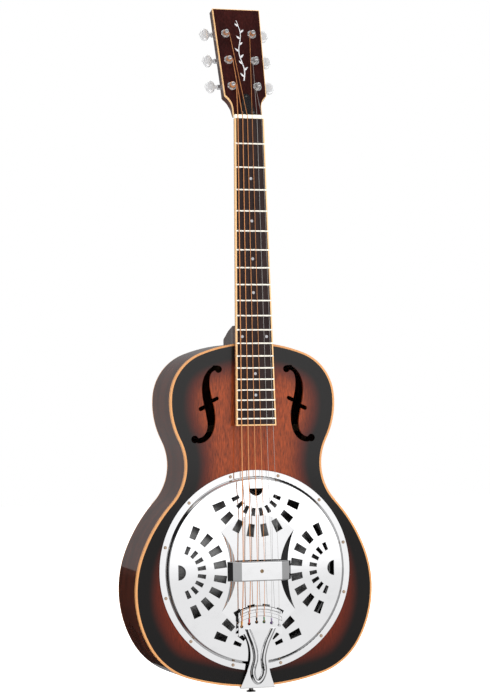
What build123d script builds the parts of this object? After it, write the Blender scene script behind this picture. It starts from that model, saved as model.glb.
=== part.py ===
from build123d import *
import os
from math import cos, pi, radians, sin

# Resonator guitar, standing upright, in millimetres.
# Row frame: +X towards the treble side, -Y out of the front, +Z up along the neck.
# The origin is the middle of the strap button's neck, on the centre plane.
#
# The pieces are drawn in three working frames, each with x across the guitar, y up along it
# and z out of its front:
#   face frame      origin on the outer face of the top, under the saddle
#   neck frame      origin on the fingerboard's surface at the nut, leaning back with the neck
#   headstock frame origin on the headstock's face at the nut, leaning back with the headstock

# ---- driving dimensions ----
SCALE_LENGTH = 640.0
FRET_COUNT = 19
FACE_Y = -28.0

TAIL_V = -164.0
BODY_JOIN_V = 321.5
BOUT_RADII = [337.0, 99.0, 152.0, 220.0, 77.0, 116.5, 71.0, 194.0]
BOUT_SWEEPS = [17.0, 43.3, 50.8, 21.7, -69.9, 32.0, 64.0, 21.1]
DEPTH_AT_TAIL = 95.0
DEPTH_AT_NECK = 94.0

TOP_THICKNESS = 3.5
BACK_THICKNESS = 3.0
SIDE_THICKNESS = 2.8
TOP_BINDING_HEIGHT = 6.0
BACK_BINDING_HEIGHT = 2.4
LINING_WIDTH = 7.0
LINING_HEIGHT = 10.5
BRACE_WIDTH = 10.0
BRACE_HEIGHT = 12.0
NECK_BLOCK_LENGTH = 42.0
NECK_BLOCK_HALF_WIDTH = 35.0
TAIL_BLOCK_LENGTH = 20.0
TAIL_BLOCK_HALF_WIDTH = 40.0

WELL_RADIUS = 123.0
WELL_OUTER_RADIUS = 140.0
LEDGE_RADIUS = 112.0
LEDGE_W = -26.0
LEDGE_THICKNESS = 4.0

CONE_RADIUS = 120.5
CONE_RIM_RADIUS = 116.0
CONE_APEX_RADIUS = 30.0
CONE_APEX_W = 4.0
CONE_SHEET = 0.8
BISCUIT_RADIUS = 29.0
BISCUIT_THICKNESS = 6.0
SADDLE_HALF_LENGTH = 28.5
SADDLE_THICKNESS = 3.2
SADDLE_TOP_W = 25.6

PLATE_RADIUS = 141.0
PLATE_SHEET = 1.0
PLATE_STEP_OUTER = 132.0
PLATE_STEP_INNER = 128.7
PLATE_STEP_W = 5.6
PLATE_BEND = 1.6
PLATE_CROWN_RADIUS = 43.0
PLATE_CROWN_W = 17.0
CHANNEL_FLOOR_W = 12.3
FAN_OFFSET = 115.5
CHANNEL_FLOOR_ARC = 83.0
CHANNEL_TOP_ARC = 73.5
FAN_HUB_RADIUS = 10.7
FAN_ANGLES = [9.5, 28.5, 47.5, 66.5]
INNER_SLOT = (33.4, 11.6, 5.0, 6.2)
OUTER_SLOT = (59.7, 17.8, 9.0, 11.0)
PLATE_SCREW_CIRCLE = 136.8
PLATE_SCREW_COUNT = 12

REST_TOP_W = 30.0
REST_HALF_WIDTH = 14.0
REST_SHEET = 1.4
REST_EDGE_DROP = 2.6

TAILPIECE_SHEET = 1.6
TAILPIECE_HEAD_W = 19.2
FRONT_BAR_W = 21.6
SECOND_BAR_W = 20.2
RIB_RADIUS = 4.2
RIB_SINK = 0.8
HEAD_ARC_RADIUS = 65.0
HEAD_HALF_WIDTH = 32.0
BALL_HOLE_RADIUS = 2.35
BALL_RADIUS = 1.8
BALL_W = 15.4
BUTTON_NECK_RADIUS = 3.0
BUTTON_NECK_LENGTH = 4.0
BUTTON_BASE = 1.5
BUTTON_END_RADIUS = 6.65
BUTTON_LENGTH = 8.5

NECK_LEAN = 1.707
BOARD_W_AT_NUT = 1.5
BOARD_THICKNESS = 5.0
BOARD_LENGTH = 436.4
BOARD_HALF_AT_NUT = 21.5
BOARD_HALF_AT_TWELVE = 27.3
BOARD_BINDING = 1.8
ROD_DEPTH = 15.0
NUT_THICKNESS = 5.5
NUT_SEAT = 6.6
STRING_RISE = 2.1
NECK_WOOD_AT_NUT = 16.5
NECK_WOOD_AT_BODY = 20.0
HEEL_BOTTOM_W = -83.0
HEEL_RISE = 24.0

HEAD_LEAN = 17.4
HEAD_LENGTH = 173.6
HEAD_THICKNESS = 15.0
HEAD_DROP = 4.95
VENEER_THICKNESS = 2.2
HEAD_HALF_AT_TOP = 35.4
HEAD_HALF_AT_SHOULDER = 31.2
SHOULDER_Y = 36.8
FLARE_START = 17.0
FLARE_RADIUS = 23.4
FLARE_SWEEP = 50.5
HEAD_BINDING = 0.8
HEAD_BINDING_DEPTH = 4.0

POST_ROWS = [(51.0, 19.2), (92.1, 19.8), (134.1, 19.95)]
POST_RADIUS = 3.0
POST_TOP = 9.0
BUSHING_RADIUS = 4.5
WASHER_RADIUS = 6.35
KEY_DEPTH = 23.0
KEY_OFFSET = 8.6
KEY_SHAFT_RADIUS = 1.9
KEY_BUTTON_U = 44.0
BUTTON_HALF_LENGTH = 9.3
BUTTON_HALF_WIDTH = 6.9
RUNNING_CLEARANCE = 0.05
GEAR_TEETH = 14
GEAR_TIP_RADIUS = 5.6
GEAR_ROOT_RADIUS = 4.8
WORM_RADIUS = 2.2

# string number: (diameter, side of the headstock, row of tuners counted from the nut)
STRINGS = {
    6: (1.42, -1, 0),
    5: (1.17, -1, 1),
    4: (0.91, -1, 2),
    3: (0.69, 1, 2),
    2: (0.46, 1, 1),
    1: (0.41, 1, 0),
}
SPACING_AT_NUT = 7.1
SPACING_AT_SADDLE = 10.4
SPACING_AT_TAILPIECE = 11.06

# ---- frames ----
TAIL_Z = TAILPIECE_SHEET + 0.2 + BUTTON_BASE + BUTTON_NECK_LENGTH / 2
SADDLE_Z = TAIL_Z - TAIL_V


def leaning_plane(v, w, lean):
    """A working plane at height v and distance w in front of the top, leaning back by lean degrees."""
    normal = (0, -cos(radians(lean)), sin(radians(lean)))
    return Plane(origin=(0, FACE_Y - w, SADDLE_Z + v), x_dir=(1, 0, 0), z_dir=normal)


FACE_PLANE = leaning_plane(0, 0, 0)
NECK_PLANE = leaning_plane(SCALE_LENGTH, BOARD_W_AT_NUT, NECK_LEAN)
HEAD_PLANE = leaning_plane(SCALE_LENGTH, BOARD_W_AT_NUT - HEAD_DROP, HEAD_LEAN)


def on_face(shape):
    return FACE_PLANE.location * shape


def on_neck(shape):
    return NECK_PLANE.location * shape


def on_head(shape):
    return HEAD_PLANE.location * shape


# ---- drawing helpers, in a working frame ----
def slab(face, low, high):
    """A flat face drawn in x and y, made solid from z = low to z = high."""
    return extrude(Pos(0, 0, low) * face, amount=high - low, dir=(0, 0, 1))


def block(x_range, y_range, z_range):
    size = [high - low for low, high in (x_range, y_range, z_range)]
    middle = [(high + low) / 2 for low, high in (x_range, y_range, z_range)]
    return Pos(*middle) * Box(*size)


def rod(x, y, radius, low, high):
    return Pos(x, y, (low + high) / 2) * Cylinder(radius, high - low)


def ring(outer, inner, low, high):
    return rod(0, 0, outer, low, high) - rod(0, 0, inner, low - 1, high + 1)


def cross_rod(radius, y, z, x_start, x_end):
    """A round bar along x."""
    turned = Rot(0, 90, 0) * Cylinder(radius, abs(x_end - x_start))
    return Pos((x_start + x_end) / 2, y, z) * turned


def side_profile(points, half_width):
    """A closed outline of (y, z) points, made solid by half_width to both sides of x = 0."""
    face = make_face(Polyline(*points, close=True))
    return extrude(Plane.YZ * face, amount=half_width, both=True)


def mirrored(shape):
    return mirror(shape, Plane.YZ)


def arc_chain(start, heading, steps):
    """Tangent arcs from a start point; each step is (radius, sweep), a left turn being positive."""
    x, y = start
    edges = []
    for radius, sweep in steps:
        turn = 1 if sweep > 0 else -1
        if radius is None:
            radius = x / sin(radians(heading))
        centre = (x - turn * radius * sin(radians(heading)), y + turn * radius * cos(radians(heading)))
        points = []
        for part in (0, 0.5, 1):
            angle = radians(heading + sweep * part)
            points.append((centre[0] + turn * radius * sin(angle), centre[1] - turn * radius * cos(angle)))
        edges.append(ThreePointArc(*points))
        x, y = points[2]
        heading += sweep
    return edges


def closed_face(half_edges):
    """A face from the edges of its right half and their mirror images."""
    left = [edge.mirror(Plane.YZ) for edge in half_edges]
    return make_face(list(half_edges) + left)


def bout_face(inset):
    """The body's outline, moved inwards by inset; the last arc closes it on the centre line."""
    radii = []
    for radius, sweep in zip(BOUT_RADII, BOUT_SWEEPS):
        radii.append(radius - inset if sweep > 0 else radius + inset)
    radii[-1] = None
    return closed_face(arc_chain((0, TAIL_V + inset), 0, list(zip(radii, BOUT_SWEEPS))))


# ---- body ----
def back_w(v):
    along = (v - TAIL_V) / (BODY_JOIN_V - TAIL_V)
    return -(DEPTH_AT_TAIL + (DEPTH_AT_NECK - DEPTH_AT_TAIL) * along)


def behind_back(offset):
    """Everything behind the plane of the back, moved forwards by offset."""
    low_v = TAIL_V - 40
    high_v = BODY_JOIN_V + 40
    deep = -DEPTH_AT_TAIL - 60
    surface = [(low_v, back_w(low_v) + offset), (high_v, back_w(high_v) + offset)]
    return side_profile(surface + [(high_v, deep), (low_v, deep)], 250)


def f_hole():
    """The right-hand f-hole: a tapered S, a curl at each end and a nib on each side."""
    outer = [(56.6, 289.1), (66.2, 282.3), (72.7, 271.6), (75.3, 259.4), (73.2, 236.5),
             (68.6, 213.6), (68.1, 202.2), (70.6, 194.6), (75.5, 189.3), (82.0, 187.4)]
    inner = [(83.4, 180.2), (72.4, 181.7), (64.4, 187.6), (58.6, 198.2), (56.0, 212.0),
             (58.1, 233.3), (63.4, 257.8), (63.6, 270.0), (61.0, 278.6), (55.4, 282.4)]
    edges = [Spline(*outer), Line(outer[-1], inner[0]), Spline(*inner), Line(inner[-1], outer[0])]
    stem = slab(make_face(edges), -TOP_THICKNESS - 1, 1)
    curls = rod(50.6, 284.0, 5.0, -TOP_THICKNESS - 1, 1) + rod(86.6, 185.6, 5.4, -TOP_THICKNESS - 1, 1)
    top_curl_bridge = slab(Pos(55, 286.2) * Rectangle(8, 6.4), -TOP_THICKNESS - 1, 1)
    inner_nib = slab(Pos(56.1, 241.5) * Rot(0, 0, -25) * SlotOverall(12, 5.6), -TOP_THICKNESS - 1, 1)
    outer_nib = slab(Pos(75, 229.5) * Rot(0, 0, -25) * SlotOverall(12, 6.2), -TOP_THICKNESS - 1, 1)
    return stem + curls + top_curl_bridge + inner_nib + outer_nib


def edge_ring(outer_inset, inner_inset, low, high):
    return slab(bout_face(outer_inset) - bout_face(inner_inset), low, high)


def make_body():
    """Top, back, sides, bindings, linings, end blocks and braces, in the face frame."""
    deep = -DEPTH_AT_TAIL - 10
    inside = SIDE_THICKNESS
    lining_inside = SIDE_THICKNESS + LINING_WIDTH
    right_hole = f_hole()

    body = {}
    top = slab(bout_face(inside), -TOP_THICKNESS, 0)
    body["body_top"] = top - rod(0, 0, WELL_RADIUS, -TOP_THICKNESS - 1, 1) - right_hole - mirrored(right_hole)
    body["top_binding"] = edge_ring(0, inside, -TOP_BINDING_HEIGHT, 0)
    wall = edge_ring(0, inside, deep, -TOP_BINDING_HEIGHT)
    body["body_sides"] = wall - behind_back(BACK_BINDING_HEIGHT)
    body["back_binding"] = (wall & behind_back(BACK_BINDING_HEIGHT)) - behind_back(0)
    back_stock = slab(bout_face(inside), deep, -60)
    body["body_back"] = (back_stock & behind_back(BACK_THICKNESS)) - behind_back(0)

    inner_stock = slab(bout_face(inside), deep, -TOP_THICKNESS) - behind_back(BACK_THICKNESS)
    neck_end = block((-NECK_BLOCK_HALF_WIDTH, NECK_BLOCK_HALF_WIDTH),
                     (BODY_JOIN_V - NECK_BLOCK_LENGTH, BODY_JOIN_V), (deep, 0))
    tail_end = block((-TAIL_BLOCK_HALF_WIDTH, TAIL_BLOCK_HALF_WIDTH),
                     (TAIL_V, TAIL_V + SIDE_THICKNESS + TAIL_BLOCK_LENGTH), (deep, 0))
    body["neck_block"] = inner_stock & neck_end
    body["tail_block"] = inner_stock & tail_end

    ends = [neck_end, tail_end]
    high_ring = edge_ring(inside, lining_inside, -TOP_THICKNESS - LINING_HEIGHT, -TOP_THICKNESS)
    body["top_lining"] = high_ring - ends
    low_ring = edge_ring(inside, lining_inside, deep, -60)
    low_ring = (low_ring & behind_back(BACK_THICKNESS + LINING_HEIGHT)) - behind_back(BACK_THICKNESS)
    body["back_lining"] = low_ring - ends

    between_linings = slab(bout_face(lining_inside), deep, 0)
    half = BRACE_WIDTH / 2
    under_top = (-TOP_THICKNESS - BRACE_HEIGHT, -TOP_THICKNESS)
    waist_bar = block((-120, 120), (152 - half, 152 + half), under_top)
    upper_bar = block((-44, 44), (240 - half, 240 + half), under_top)
    body["top_braces"] = [waist_bar & between_linings, upper_bar]
    back_bars = []
    for v in (-80, 60, 200):
        bar = block((-180, 180), (v - half, v + half), (deep, -60)) & between_linings
        bar = (bar & behind_back(BACK_THICKNESS + BRACE_HEIGHT)) - behind_back(BACK_THICKNESS)
        back_bars.append(bar)
    body["back_braces"] = back_bars
    return body


# ---- resonator and coverplate, in the face frame ----
def make_soundwell():
    wall = ring(WELL_OUTER_RADIUS, WELL_RADIUS, LEDGE_W, -TOP_THICKNESS)
    ledge = ring(WELL_OUTER_RADIUS, LEDGE_RADIUS, LEDGE_W - LEDGE_THICKNESS, LEDGE_W)
    return wall + ledge


def revolved(points):
    """A closed outline of (radius, z) points turned about the z axis."""
    face = make_face(Polyline(*points, close=True))
    return revolve(Plane.XZ * face, axis=Axis.Z)


def make_cone():
    """Spun cone: a rolled rim on the ledge, a straight wall and a flat apex under the biscuit."""
    rim = LEDGE_W
    apex = CONE_APEX_W
    sheet = CONE_SHEET
    outline = [(1.6, apex), (CONE_APEX_RADIUS, apex), (CONE_RIM_RADIUS, rim + 2 * sheet),
               (CONE_RADIUS - 2, rim + 2 * sheet), (CONE_RADIUS, rim + 2.4), (CONE_RADIUS, rim),
               (CONE_RIM_RADIUS - 0.6, rim), (CONE_APEX_RADIUS - 0.3, apex - sheet), (1.6, apex - sheet)]
    return revolved(outline)


def make_bridge():
    """Biscuit, saddle and the screw that holds the biscuit to the cone."""
    top = CONE_APEX_W + BISCUIT_THICKNESS
    slot_floor = top - 3.0
    half = SADDLE_THICKNESS / 2
    foot = [(-half, slot_floor), (half, slot_floor)]
    crest = [(half, SADDLE_TOP_W - 1.2), (half - 1.0, SADDLE_TOP_W),
             (1.0 - half, SADDLE_TOP_W), (-half, SADDLE_TOP_W - 1.2)]
    saddle = side_profile(foot + crest, SADDLE_HALF_LENGTH)
    biscuit = rod(0, 0, BISCUIT_RADIUS, CONE_APEX_W, top)
    biscuit = biscuit - block((-40, 40), (-half, half), (slot_floor, top + 1))
    screw_head = rod(0, 0, 3.4, CONE_APEX_W - CONE_SHEET - 1.6, CONE_APEX_W - CONE_SHEET)
    screw = screw_head + rod(0, 0, 1.5, CONE_APEX_W - CONE_SHEET, slot_floor - 0.4)
    biscuit = biscuit - rod(0, 0, 1.5, CONE_APEX_W - 1, slot_floor - 0.4)
    return {"biscuit": biscuit, "saddle": saddle, "biscuit_screw": screw}


def plate_form(lowered):
    """The solid under the coverplate's surface, lowered by a given amount."""
    outline = [(0, -3), (PLATE_RADIUS, -3), (PLATE_RADIUS, PLATE_SHEET), (PLATE_STEP_OUTER, PLATE_SHEET),
               (PLATE_STEP_INNER, PLATE_STEP_W), (PLATE_CROWN_RADIUS, PLATE_CROWN_W), (0, PLATE_CROWN_W)]
    face = make_face(Polyline(*outline, close=True))
    bends = face.vertices().filter_by(lambda corner: PLATE_STEP_INNER - 1 < corner.X < PLATE_STEP_OUTER + 1)
    dome = revolve(Plane.XZ * fillet(bends, PLATE_BEND), axis=Axis.Z)
    reach = PLATE_CROWN_W + 3 - CHANNEL_FLOOR_W
    slope = (CHANNEL_FLOOR_ARC - CHANNEL_TOP_ARC) / (PLATE_CROWN_W - CHANNEL_FLOOR_W)
    lobe = Cone(CHANNEL_FLOOR_ARC, CHANNEL_FLOOR_ARC - slope * reach, reach)
    channel = block((-150, 150), (-150, 150), (CHANNEL_FLOOR_W, CHANNEL_FLOOR_W + reach))
    for side in (-1, 1):
        channel = channel - Pos(side * FAN_OFFSET, 0, CHANNEL_FLOOR_W + reach / 2) * lobe
    return Pos(0, 0, -lowered) * (dome - channel)


def slot_cutter(distance, length, narrow, wide):
    """A slot that widens away from the fan's hub, pointing along -y from the hub."""
    near = distance - length / 2
    far = distance + length / 2
    face = make_face(Polyline((-narrow / 2, -near), (narrow / 2, -near), (wide / 2, -far), (-wide / 2, -far),
                              close=True))
    return slab(face, -5, 30)


def fan_cutters():
    """One fan above the saddle: half-round hub and two rows of slots that open towards the centre."""
    hub = rod(0, 0, FAN_HUB_RADIUS, -5, 30) - block((-20, 20), (0, 20), (-6, 31))
    cutters = [hub]
    for angle in FAN_ANGLES:
        for side in (-1, 1):
            for slot in (INNER_SLOT, OUTER_SLOT):
                cutters.append(Rot(0, 0, side * angle) * slot_cutter(*slot))
    return [Pos(0, FAN_OFFSET, 0) * cutter for cutter in cutters]


def plate_screw_places():
    for number in range(PLATE_SCREW_COUNT):
        angle = radians(15 + 360 / PLATE_SCREW_COUNT * number)
        yield PLATE_SCREW_CIRCLE * sin(angle), PLATE_SCREW_CIRCLE * cos(angle)


def make_coverplate():
    shell = plate_form(0) - plate_form(PLATE_SHEET)
    shell = shell & rod(0, 0, PLATE_RADIUS + 1, 0, 40)
    cutters = [slab(SlotOverall(63, 16), 0, 40)]
    for quarter in range(4):
        cutters += [Rot(0, 0, 90 * quarter) * cutter for cutter in fan_cutters()]
    return shell - cutters


def make_plate_screws():
    screws = []
    for x, y in plate_screw_places():
        head = Pos(x, y, PLATE_SHEET) * (Sphere(2.3) & block((-3, 3), (-3, 3), (0, 1.3)))
        screws.append(head + rod(x, y, 1.2, -8, PLATE_SHEET + 0.5))
    return screws


def rest_outline(inset, floor):
    """The hand rest's front profile in (x, z): flat top, sloping shoulders, steep feet."""
    right = [(29.6 - inset * 0.2, REST_TOP_W - inset), (41.4 - inset * 0.7, 26.2 - inset),
             (46.4 - inset, 18.6), (46.8 - inset, floor)]
    left = [(-x, z) for x, z in reversed(right)]
    return right + left


def make_hand_rest():
    """Arched strap over the saddle with turned-down edges, its feet resting on the coverplate."""
    def arch(inset, half_width, floor):
        face = make_face(Polyline(*rest_outline(inset, floor), close=True))
        return extrude(Plane.XZ * face, amount=half_width, both=True)

    outer = arch(0, REST_HALF_WIDTH, 10)
    outer = fillet(outer.edges().filter_by(lambda e: e.center().Z > 18 and e.length > 8).filter_by(
        lambda e: abs(abs(e.center().Y) - REST_HALF_WIDTH) < 0.01), 2.2)
    under = arch(REST_EDGE_DROP, REST_HALF_WIDTH + 1, 5)
    pocket = arch(REST_SHEET, REST_HALF_WIDTH - REST_SHEET, 5)
    strap = outer - under - pocket - rod(0, 0, 2.7, 20, 40)
    return strap - plate_form(0)


# ---- tailpiece and strap button, in the face frame ----
def curved_strip(top_v, bottom_v, half_width, low, high):
    """A strip between two equal arcs that bow upwards."""
    def arc_disc(v):
        return Pos(0, v - HEAD_ARC_RADIUS) * Circle(HEAD_ARC_RADIUS)

    band = arc_disc(top_v) - arc_disc(bottom_v)
    keep = Pos(0, top_v - 20) * Rectangle(2 * half_width, 44)
    return slab(band & keep, low, high)


def tailpiece_face():
    """Front outline below the head: sides sweep in to a waist and out again to the body's edge."""
    right = [Spline((30.5, -80), (17.6, -98), (13.2, -125), (16.2, -140), (25.5, -166))]
    top = [Line((30.5, -80), (0, -80))]
    bottom = [Line((25.5, -166), (0, -166))]
    return closed_face(top + right + bottom)


def tailpiece_rib():
    """The round rib pressed up in the sheet: down from one corner of the head, round a loop and up again."""
    right = [(7.4, -148, 6.4), (5.8, -125, 12.4), (9.4, -103, 15.9), (20, -78, 19.4)]
    left = [(-x, v, w) for x, v, w in reversed(right)]
    line = [(x, v, w - RIB_SINK) for x, v, w in left + [(0, -157, 4.4)] + right]
    section = Plane(origin=line[0], z_dir=(1, -2.4, -0.5)) * Circle(RIB_RADIUS)
    return sweep(section, path=Spline(*line, tangents=[(1, -2.4, -0.5), (1, 2.4, 0.5)]))


def ball_hole_places():
    for number in STRINGS:
        x = string_x(number, SPACING_AT_TAILPIECE)
        yield number, x, -71.5 - x * x / (2 * HEAD_ARC_RADIUS)


def make_tailpiece():
    sheet = TAILPIECE_SHEET
    edge_v = TAIL_V - 0.2
    high = TAILPIECE_HEAD_W
    bends = [(-66, high), (-82, high), (-125, 12.4), (-148, 6.4)]
    upper = bends + [(edge_v - sheet + 0.8, 3.0), (edge_v - sheet, 2.2)]
    under = [(v, w - sheet) for v, w in [(edge_v, 2.2)] + bends[::-1]]
    strap = side_profile(upper + under, 40) & slab(tailpiece_face(), -5, 40)
    above = [(edge_v - sheet, 40), (edge_v - sheet, 1.6)] + [(v, w - sheet / 2) for v, w in bends[::-1]]
    ribs = tailpiece_rib() & side_profile(above + [(-66, 40)], 40) & block((-40, 40), (-200, -81), (-5, 60))
    tab_face = make_face(Polyline((-25.5, 2.2), (25.5, 2.2), (22, -12), (13, -22), (13, FACE_Y - 10),
                                  (-13, FACE_Y - 10), (-13, -22), (-22, -12), close=True))
    tail_face = Plane(origin=(0, edge_v, 0), x_dir=(1, 0, 0), z_dir=(0, -1, 0))
    tab = extrude(tail_face * tab_face, amount=sheet)
    tab = tab - Pos(0, edge_v, FACE_Y) * Rot(90, 0, 0) * Cylinder(1.7, 10)
    front_bar = curved_strip(-49, -54.5, HEAD_HALF_WIDTH - 2, high - sheet, FRONT_BAR_W)
    second_bar = curved_strip(-57.5, -63.5, HEAD_HALF_WIDTH, high - sheet, SECOND_BAR_W)
    front_bar = fillet(front_bar.edges().group_by(Axis.Z)[-1], 1.6)
    second_bar = fillet(second_bar.edges().group_by(Axis.Z)[-1], 0.9)
    web = curved_strip(-50, -83, HEAD_HALF_WIDTH, high - sheet, high)
    head = front_bar + second_bar + web
    for _, x, v in ball_hole_places():
        head = head - rod(x, v, BALL_HOLE_RADIUS, 10, 25)
    return head + strap + ribs + tab


def make_strap_button():
    """Flared button on the tail, turned about an axis that runs up into the tail block."""
    end = -BUTTON_LENGTH
    outline = [(1.6, 0), (5.0, 0), (5.0, -1.0), (BUTTON_NECK_RADIUS, -BUTTON_BASE),
               (BUTTON_NECK_RADIUS, -BUTTON_BASE - BUTTON_NECK_LENGTH), (BUTTON_END_RADIUS, end + 1.2),
               (BUTTON_END_RADIUS, end + 0.4), (BUTTON_END_RADIUS - 0.4, end), (3.2, end), (1.6, end + 1.6)]
    screw = [(0, 22), (1.6, 19), (1.6, end + 1.6), (3.2, end), (0, end)]
    lift = Pos(0, 0, BUTTON_BASE + BUTTON_NECK_LENGTH / 2)
    return {"strap_button": lift * revolved(outline), "strap_button_screw": lift * revolved(screw)}


# ---- neck, fingerboard and nut ----
def fret_place(number):
    return SCALE_LENGTH * (1 - 2 ** (-number / 12))


def board_half_width(y):
    along = -y / fret_place(12)
    return BOARD_HALF_AT_NUT + (BOARD_HALF_AT_TWELVE - BOARD_HALF_AT_NUT) * along


def board_face(inset, start, end):
    """The fingerboard's plan between two y values, moved in by inset at the sides."""
    near = board_half_width(start) - inset
    far = board_half_width(end) - inset
    return make_face(Polyline((-near, start), (near, start), (far, end), (-far, end), close=True))


def make_fingerboard():
    """Board, binding, frets and position dots, in the neck frame."""
    end = -BOARD_LENGTH
    whole = slab(board_face(0, 0, end), -BOARD_THICKNESS, 0)
    core = slab(board_face(BOARD_BINDING, 0, end + BOARD_BINDING), -BOARD_THICKNESS, 0)
    crown = make_face([ThreePointArc((-1.1, 0), (0, 1.1), (1.1, 0)), Line((1.1, 0), (-1.1, 0))])
    frets = []
    tangs = []
    for number in range(1, FRET_COUNT + 1):
        y = -fret_place(number)
        reach = board_half_width(y) - 0.6
        tang_reach = board_half_width(y) - BOARD_BINDING - 0.5
        wire = Pos(0, y, 0) * extrude(Plane.YZ * crown, amount=reach, both=True)
        tang = block((-tang_reach, tang_reach), (y - 0.3, y + 0.3), (-2.0, 0))
        frets.append(wire + tang)
        tangs.append(tang)
    dots = []
    for number in (3, 5, 7, 9, 12, 15, 17):
        y = -(fret_place(number) + fret_place(number - 1)) / 2
        for x in (-18, 18) if number == 12 else (0,):
            dots.append(rod(x, y, 2.1, -1.5, 0))
    return {
        "fingerboard": on_neck(core - tangs - dots),
        "fingerboard_binding": on_neck(whole - core),
        "frets": [on_neck(fret) for fret in frets],
        "position_dots": [on_neck(dot) for dot in dots],
    }


def nut_stock():
    """The nut before its string slots are cut, in the neck frame."""
    outline = [(0, -NUT_SEAT), (0, STRING_RISE - 0.4), (0.6, STRING_RISE), (3.4, STRING_RISE),
               (NUT_THICKNESS, STRING_RISE - 1.6), (NUT_THICKNESS, -NUT_SEAT)]
    return on_neck(side_profile(outline, BOARD_HALF_AT_NUT))


def make_riser():
    """Wedge between the top and the fingerboard's end over the body."""
    length_on_body = BOARD_LENGTH - 0.6
    reach = block((-60, 60), (SCALE_LENGTH - length_on_body, BODY_JOIN_V - 1), (0, 40))
    plan = board_face(0.5, -fret_place(12) + 10, -length_on_body)
    plan = fillet(plan.vertices().group_by(Axis.Y)[0], 4)
    return on_neck(slab(plan, -40, -BOARD_THICKNESS)) & on_face(reach)


def neck_section(half_width, depth):
    """D-shaped section: flat under the board and half-elliptical behind, in (x, z)."""
    curve = EllipticalCenterArc((0, 0), half_width, depth, start_angle=180, arc_size=180)
    return make_face([curve, Line((half_width, 0), (-half_width, 0))])


def neck_shaft():
    """The rounded neck from the headstock to the body, in the neck frame."""
    sections = []
    for y, depth in ((12, NECK_WOOD_AT_NUT), (-fret_place(12) - 4, NECK_WOOD_AT_BODY)):
        plane = Plane(origin=(0, y, -BOARD_THICKNESS), x_dir=(1, 0, 0), z_dir=(0, -1, 0))
        sections.append(plane * neck_section(board_half_width(min(y, 0)) - 0.3, depth))
    return loft(sections)


def neck_heel():
    """The heel: a side profile that curves down to the cap, narrowed towards its bottom."""
    top_v = BODY_JOIN_V + HEEL_RISE
    start = BODY_JOIN_V - 6
    cap_v = top_v - 21
    curve = Spline((top_v, -10), (top_v - 2.5, -26), (top_v - 7, -44), (top_v - 14, -64),
                   (cap_v, HEEL_BOTTOM_W))
    edges = [curve, Line((cap_v, HEEL_BOTTOM_W), (start, HEEL_BOTTOM_W)),
             Line((start, HEEL_BOTTOM_W), (start, 5)), Line((start, 5), (top_v, 4)),
             Line((top_v, 4), (top_v, -10))]
    side = extrude(Plane.YZ * make_face(edges), amount=40, both=True)
    half = BOARD_HALF_AT_TWELVE - 1
    flank = Spline((half, -8), (24, -24), (22.6, -44), (21, -62), (18.6, -77), (0, HEEL_BOTTOM_W),
                   tangents=[(-0.1, -1), (-1, 0)])
    section = closed_face([Line((0, 6), (half, 6)), Line((half, 6), (half, -8)), flank])
    return side & extrude(Plane.XZ * section, amount=top_v + 10, dir=(0, 1, 0))


def head_half_edges(inset):
    """Right half of the headstock's outline: concave flare, shoulder, straight side and flat top."""
    base = NUT_THICKNESS - 1
    radius = FLARE_RADIUS + inset
    centre = (BOARD_HALF_AT_NUT - inset + radius, FLARE_START)
    points = []
    for part in (0, 0.5, 1):
        angle = radians(180 - FLARE_SWEEP * part)
        points.append((centre[0] + radius * cos(angle), centre[1] + radius * sin(angle)))
    shoulder = (HEAD_HALF_AT_SHOULDER - inset, SHOULDER_Y + 1.7)
    crest = (HEAD_HALF_AT_SHOULDER - inset - 0.15, SHOULDER_Y - 0.15)
    corner = (HEAD_HALF_AT_TOP - inset, HEAD_LENGTH - inset)
    return [Line((0, base), (points[0][0], base)), Line((points[0][0], base), points[0]),
            ThreePointArc(*points), ThreePointArc(points[2], crest, shoulder), Line(shoulder, corner),
            Line(corner, (0, HEAD_LENGTH - inset))]


def rod_channel():
    """Channel for the truss rod, open to the headstock's face under the cover, in the neck frame."""
    return on_neck(block((-3, 3), (-318, 14), (-ROD_DEPTH, -BOARD_THICKNESS)))


def nape_wedges():
    """Cut that tapers the headstock's back edges into the round neck, in the headstock frame."""
    wedge = side_profile([(-5, -2.5), (26, -HEAD_THICKNESS - 0.5), (26, -40), (-5, -40)], 60)
    return wedge - block((-14, 14), (-10, 30), (-50, 0))


def nut_access():
    """Pocket in the headstock's face that reaches the truss rod's nut."""
    return on_head(block((-3.8, 3.8), (5, 22), (-12, 3)))


def post_places():
    """Side, x and y of each tuner post in the headstock frame, by string number."""
    for number, (_, side, row) in STRINGS.items():
        y, x = POST_ROWS[row]
        yield number, side, side * x, y


def bushing_bores():
    return [on_head(rod(x, y, BUSHING_RADIUS, -HEAD_THICKNESS - 5, 5)) for _, _, x, y in post_places()]


def make_neck():
    """Neck and headstock wood in one piece, with the veneer and its binding on the headstock's face."""
    face = closed_face(head_half_edges(0))
    inner = closed_face(head_half_edges(HEAD_BINDING))
    nut = nut_stock()
    bores = bushing_bores()
    binding = on_head(slab(face - inner, -HEAD_BINDING_DEPTH, 0))
    head_wood = on_head(slab(face, -HEAD_THICKNESS, -VENEER_THICKNESS) - nape_wedges())
    above_face = on_head(block((-60, 60), (NUT_THICKNESS - 1, 200), (-VENEER_THICKNESS, 20)))
    beside_board = on_neck(block((-60, 60), (-500, NUT_THICKNESS), (-BOARD_THICKNESS, 20)))
    shaft = on_neck(neck_shaft()) - above_face
    heel = on_face(neck_heel()) - on_face(slab(bout_face(0), -120, 20))
    shaft = shaft - on_face(slab(bout_face(0), -120, 20))
    wood = shaft + heel + head_wood
    wood = wood - beside_board - [nut, rod_channel(), nut_access()] - bores
    veneer = on_head(slab(inner, -VENEER_THICKNESS, 0)) - nut - nut_access() - bores
    return {"neck": wood - binding, "headstock_veneer": veneer, "headstock_binding": binding - nut}


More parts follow.
